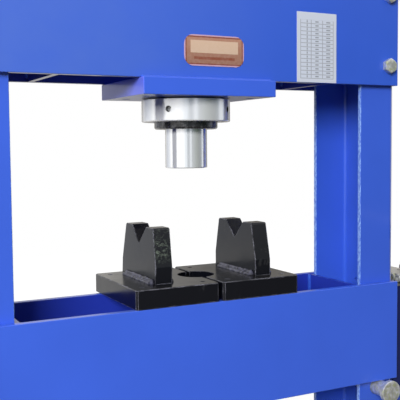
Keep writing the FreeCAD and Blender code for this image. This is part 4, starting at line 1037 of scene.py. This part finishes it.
ROOM_ABOVE = (1.0, 1.0, 1.0)
FLOOR_MIRRORED = (0.075, 0.070, 0.058)
FLOOR_BEHIND = (0.80, 0.79, 0.78)
WHITE = (1, 1, 1, 1)
SKY = (0.97, 0.98, 1.0, 1)
KEY_LAMP = {"size": (3.0, 2.0), "place": (-3.7, -4.2, 3.2), "aim": (0, 0, 1.05)}
TOP_LAMP = {"size": (2.2, 1.6), "place": (-0.3, -0.9, 3.9), "aim": (0, 0, 1.2)}


def ray_kinds(tree):
    """One for the camera's rays, and one for the rays that a mirror or glass sends on."""
    path = tree.node("LightPath").outputs
    return path["Is Camera Ray"], tree.largest(path["Is Glossy Ray"], path["Is Transmission Ray"])


def make_room(strength):
    """World: plain white for the camera, bright and dark walls for mirrors, and light from above."""
    world = bpy.data.worlds.new("studio")
    bpy.context.scene.world = world
    tree = Tree(world)
    tree.nodes.clear()
    view = tree.node("Mapping", tree.node("TexCoord").outputs["Generated"], vector_type="POINT")
    tree.tuned(view, Rotation=(0, 0, math.radians(FACING)))
    parts = tree.node("SeparateXYZ", view.outputs[0]).outputs
    angle = tree.math("ARCTAN2", parts["X"], tree.product(parts["Y"], -1.0))
    ramp = tree.node("ValToRGB", tree.math("ADD", tree.math("DIVIDE", angle, 2 * math.pi), 0.5))
    stops = ramp.color_ramp.elements
    while len(stops) < len(ROOM_TONES):
        stops.new(0.5)
    for stop, (degrees, tone) in zip(stops, ROOM_TONES):
        stop.position = (degrees + 180) / 360
        stop.color = (*tone, 1)
    wave = tree.tuned(tree.node("TexNoise", noise_dimensions="1D"), W=angle, Scale=9.0, Detail=3.0)
    streaks = tree.spread(wave.outputs["Fac"], 0.3, 0.7, 0.80, 1.15)
    walls = tree.tuned(tree.node("VectorMath", ramp.outputs[0], operation="SCALE"), Scale=streaks)
    lift = tree.spread(parts["Z"], 0.06, 0.50, interpolation_type="SMOOTHSTEP")
    mirror = tree.node("Background", tree.blend(lift, walls.outputs[0], ROOM_ABOVE)).outputs[0]
    overhead = tree.spread(parts["Z"], 0.0, 0.8, 0.15 * strength, strength)
    soft = tree.node("Background", SKY, overhead).outputs[0]
    white = tree.node("Background", WHITE).outputs[0]
    camera, mirrored = ray_kinds(tree)
    light = tree.node("MixShader", mirrored, soft, mirror).outputs[0]
    tree.node("OutputWorld", tree.node("MixShader", camera, light, white).outputs[0])


def floor_finish(studio):
    """Matt floor: white for the camera but for the object's shadow round its feet, warm grey in mirrors."""
    material = bpy.data.materials.new("studio_floor")
    tree = Tree(material)
    tree.nodes.clear()
    place = tree.node("TexCoord").outputs["Object"]
    camera, mirrored = ray_kinds(tree)
    matt = tree.node("BsdfDiffuse", (studio.floor, studio.floor * 0.97, studio.floor * 0.92, 1))
    away = tree.node("VectorMath", place, operation="LENGTH").outputs["Value"]
    far = tree.spread(away, 1.0, 3.2, studio.floor_glow, 1.0)
    white = tree.node("Emission", WHITE, tree.product(camera, far))
    behind = tree.spread(tree.node("SeparateXYZ", place).outputs["Y"], 0.4, 2.4)
    warm = tree.node("Emission", tree.blend(behind, FLOOR_MIRRORED, FLOOR_BEHIND), mirrored)
    glow = tree.node("AddShader", white.outputs[0], warm.outputs[0])
    both = tree.node("AddShader", matt.outputs[0], glow.outputs[0])
    tree.node("OutputMaterial", both.outputs[0])
    return material


def lamp(name, power, size, place, aim, mirrored=False):
    clear_selection()
    bpy.ops.object.light_add(type="AREA", location=place)
    made = bpy.context.object
    made.name = name
    made.data.energy = power
    made.data.shape = "RECTANGLE"
    made.data.size, made.data.size_y = size
    made.rotation_euler = (Vector(aim) - Vector(place)).to_track_quat("-Z", "Y").to_euler()
    made.visible_glossy = mirrored


def make_camera(lens):
    clear_selection()
    bpy.ops.object.camera_add(location=CAMERA_PLACE)
    camera = bpy.context.object
    yaw, pitch, roll = (math.radians(angle) for angle in (FACING, PITCH, ROLL))
    ahead = Vector((math.sin(yaw), math.cos(yaw), 0))
    right = Vector((math.cos(yaw), -math.sin(yaw), 0))
    up = Vector((0, 0, 1))
    forward = ahead * math.cos(pitch) - up * math.sin(pitch)
    upward = up * math.cos(pitch) + ahead * math.sin(pitch)
    across = right * math.cos(roll) + upward * math.sin(roll)
    upward = upward * math.cos(roll) - right * math.sin(roll)
    camera.rotation_euler = Matrix((across, upward, -forward)).transposed().to_euler()
    camera.data.lens = lens
    camera.data.sensor_width = SENSOR
    camera.data.shift_y = SHIFT
    camera.data.clip_start, camera.data.clip_end = 0.05, 200
    bpy.context.scene.camera = camera


class PRESS_OT_studio(bpy.types.Operator):
    """Camera, floor, lamps and room"""
    bl_idname = "press.studio"
    bl_label = "Studio"

    def execute(self, context):
        studio = context.scene.press_studio
        make_camera(studio.lens)
        context.scene.view_settings.view_transform = "Standard"
        clear_selection()
        bpy.ops.mesh.primitive_plane_add(size=15, location=(0, 0, -0.0005))
        floor = added("studio_floor")
        floor.data.materials.append(floor_finish(studio))
        lamp("key_lamp", studio.key * (1.0 - studio.glint), **KEY_LAMP)
        lamp("key_glint", studio.key * studio.glint, mirrored=True, **KEY_LAMP)
        lamp("top_lamp", studio.top, **TOP_LAMP)
        make_room(studio.room)
        return {"FINISHED"}


# ------------------------------------------------------------------ panel and registration
STEPS = (PRESS_OT_studio, PRESS_OT_frame, PRESS_OT_frame_welds, PRESS_OT_foot_welds, PRESS_OT_tooling,
         PRESS_OT_fasteners, PRESS_OT_cylinder, PRESS_OT_pump, PRESS_OT_gauge, PRESS_OT_signs)
GROUPS = {"press_paint": PressPaint, "press_steel": PressSteel, "press_welds": PressWelds,
          "press_signs": PressSigns, "press_studio": PressStudio}


class PRESS_PT_sidebar(bpy.types.Panel):
    """The press's sizes, colours and steps"""
    bl_idname = "PRESS_PT_sidebar"
    bl_label = "Workshop press"
    bl_space_type = "VIEW_3D"
    bl_region_type = "UI"
    bl_category = "Press"

    def draw(self, context):
        for group, kind in GROUPS.items():
            box = self.layout.box()
            for key in kind.__annotations__:
                box.prop(getattr(context.scene, group), key)
        for step in STEPS:
            self.layout.operator(step.bl_idname)


def register():
    for kind in (*GROUPS.values(), *STEPS, PRESS_PT_sidebar):
        bpy.utils.register_class(kind)
    for group, kind in GROUPS.items():
        setattr(bpy.types.Scene, group, PointerProperty(type=kind))


def unregister():
    for group in GROUPS:
        delattr(bpy.types.Scene, group)
    for kind in reversed((*GROUPS.values(), *STEPS, PRESS_PT_sidebar)):
        bpy.utils.unregister_class(kind)


def main():
    register()
    bpy.ops.press.studio()
    bpy.ops.press.frame()
    bpy.ops.press.frame_welds()
    bpy.ops.press.foot_welds()
    bpy.ops.press.tooling()
    bpy.ops.press.fasteners()
    bpy.ops.press.cylinder()
    bpy.ops.press.pump()
    bpy.ops.press.gauge()
    bpy.ops.press.signs()


if __name__ == "__main__":
    main()
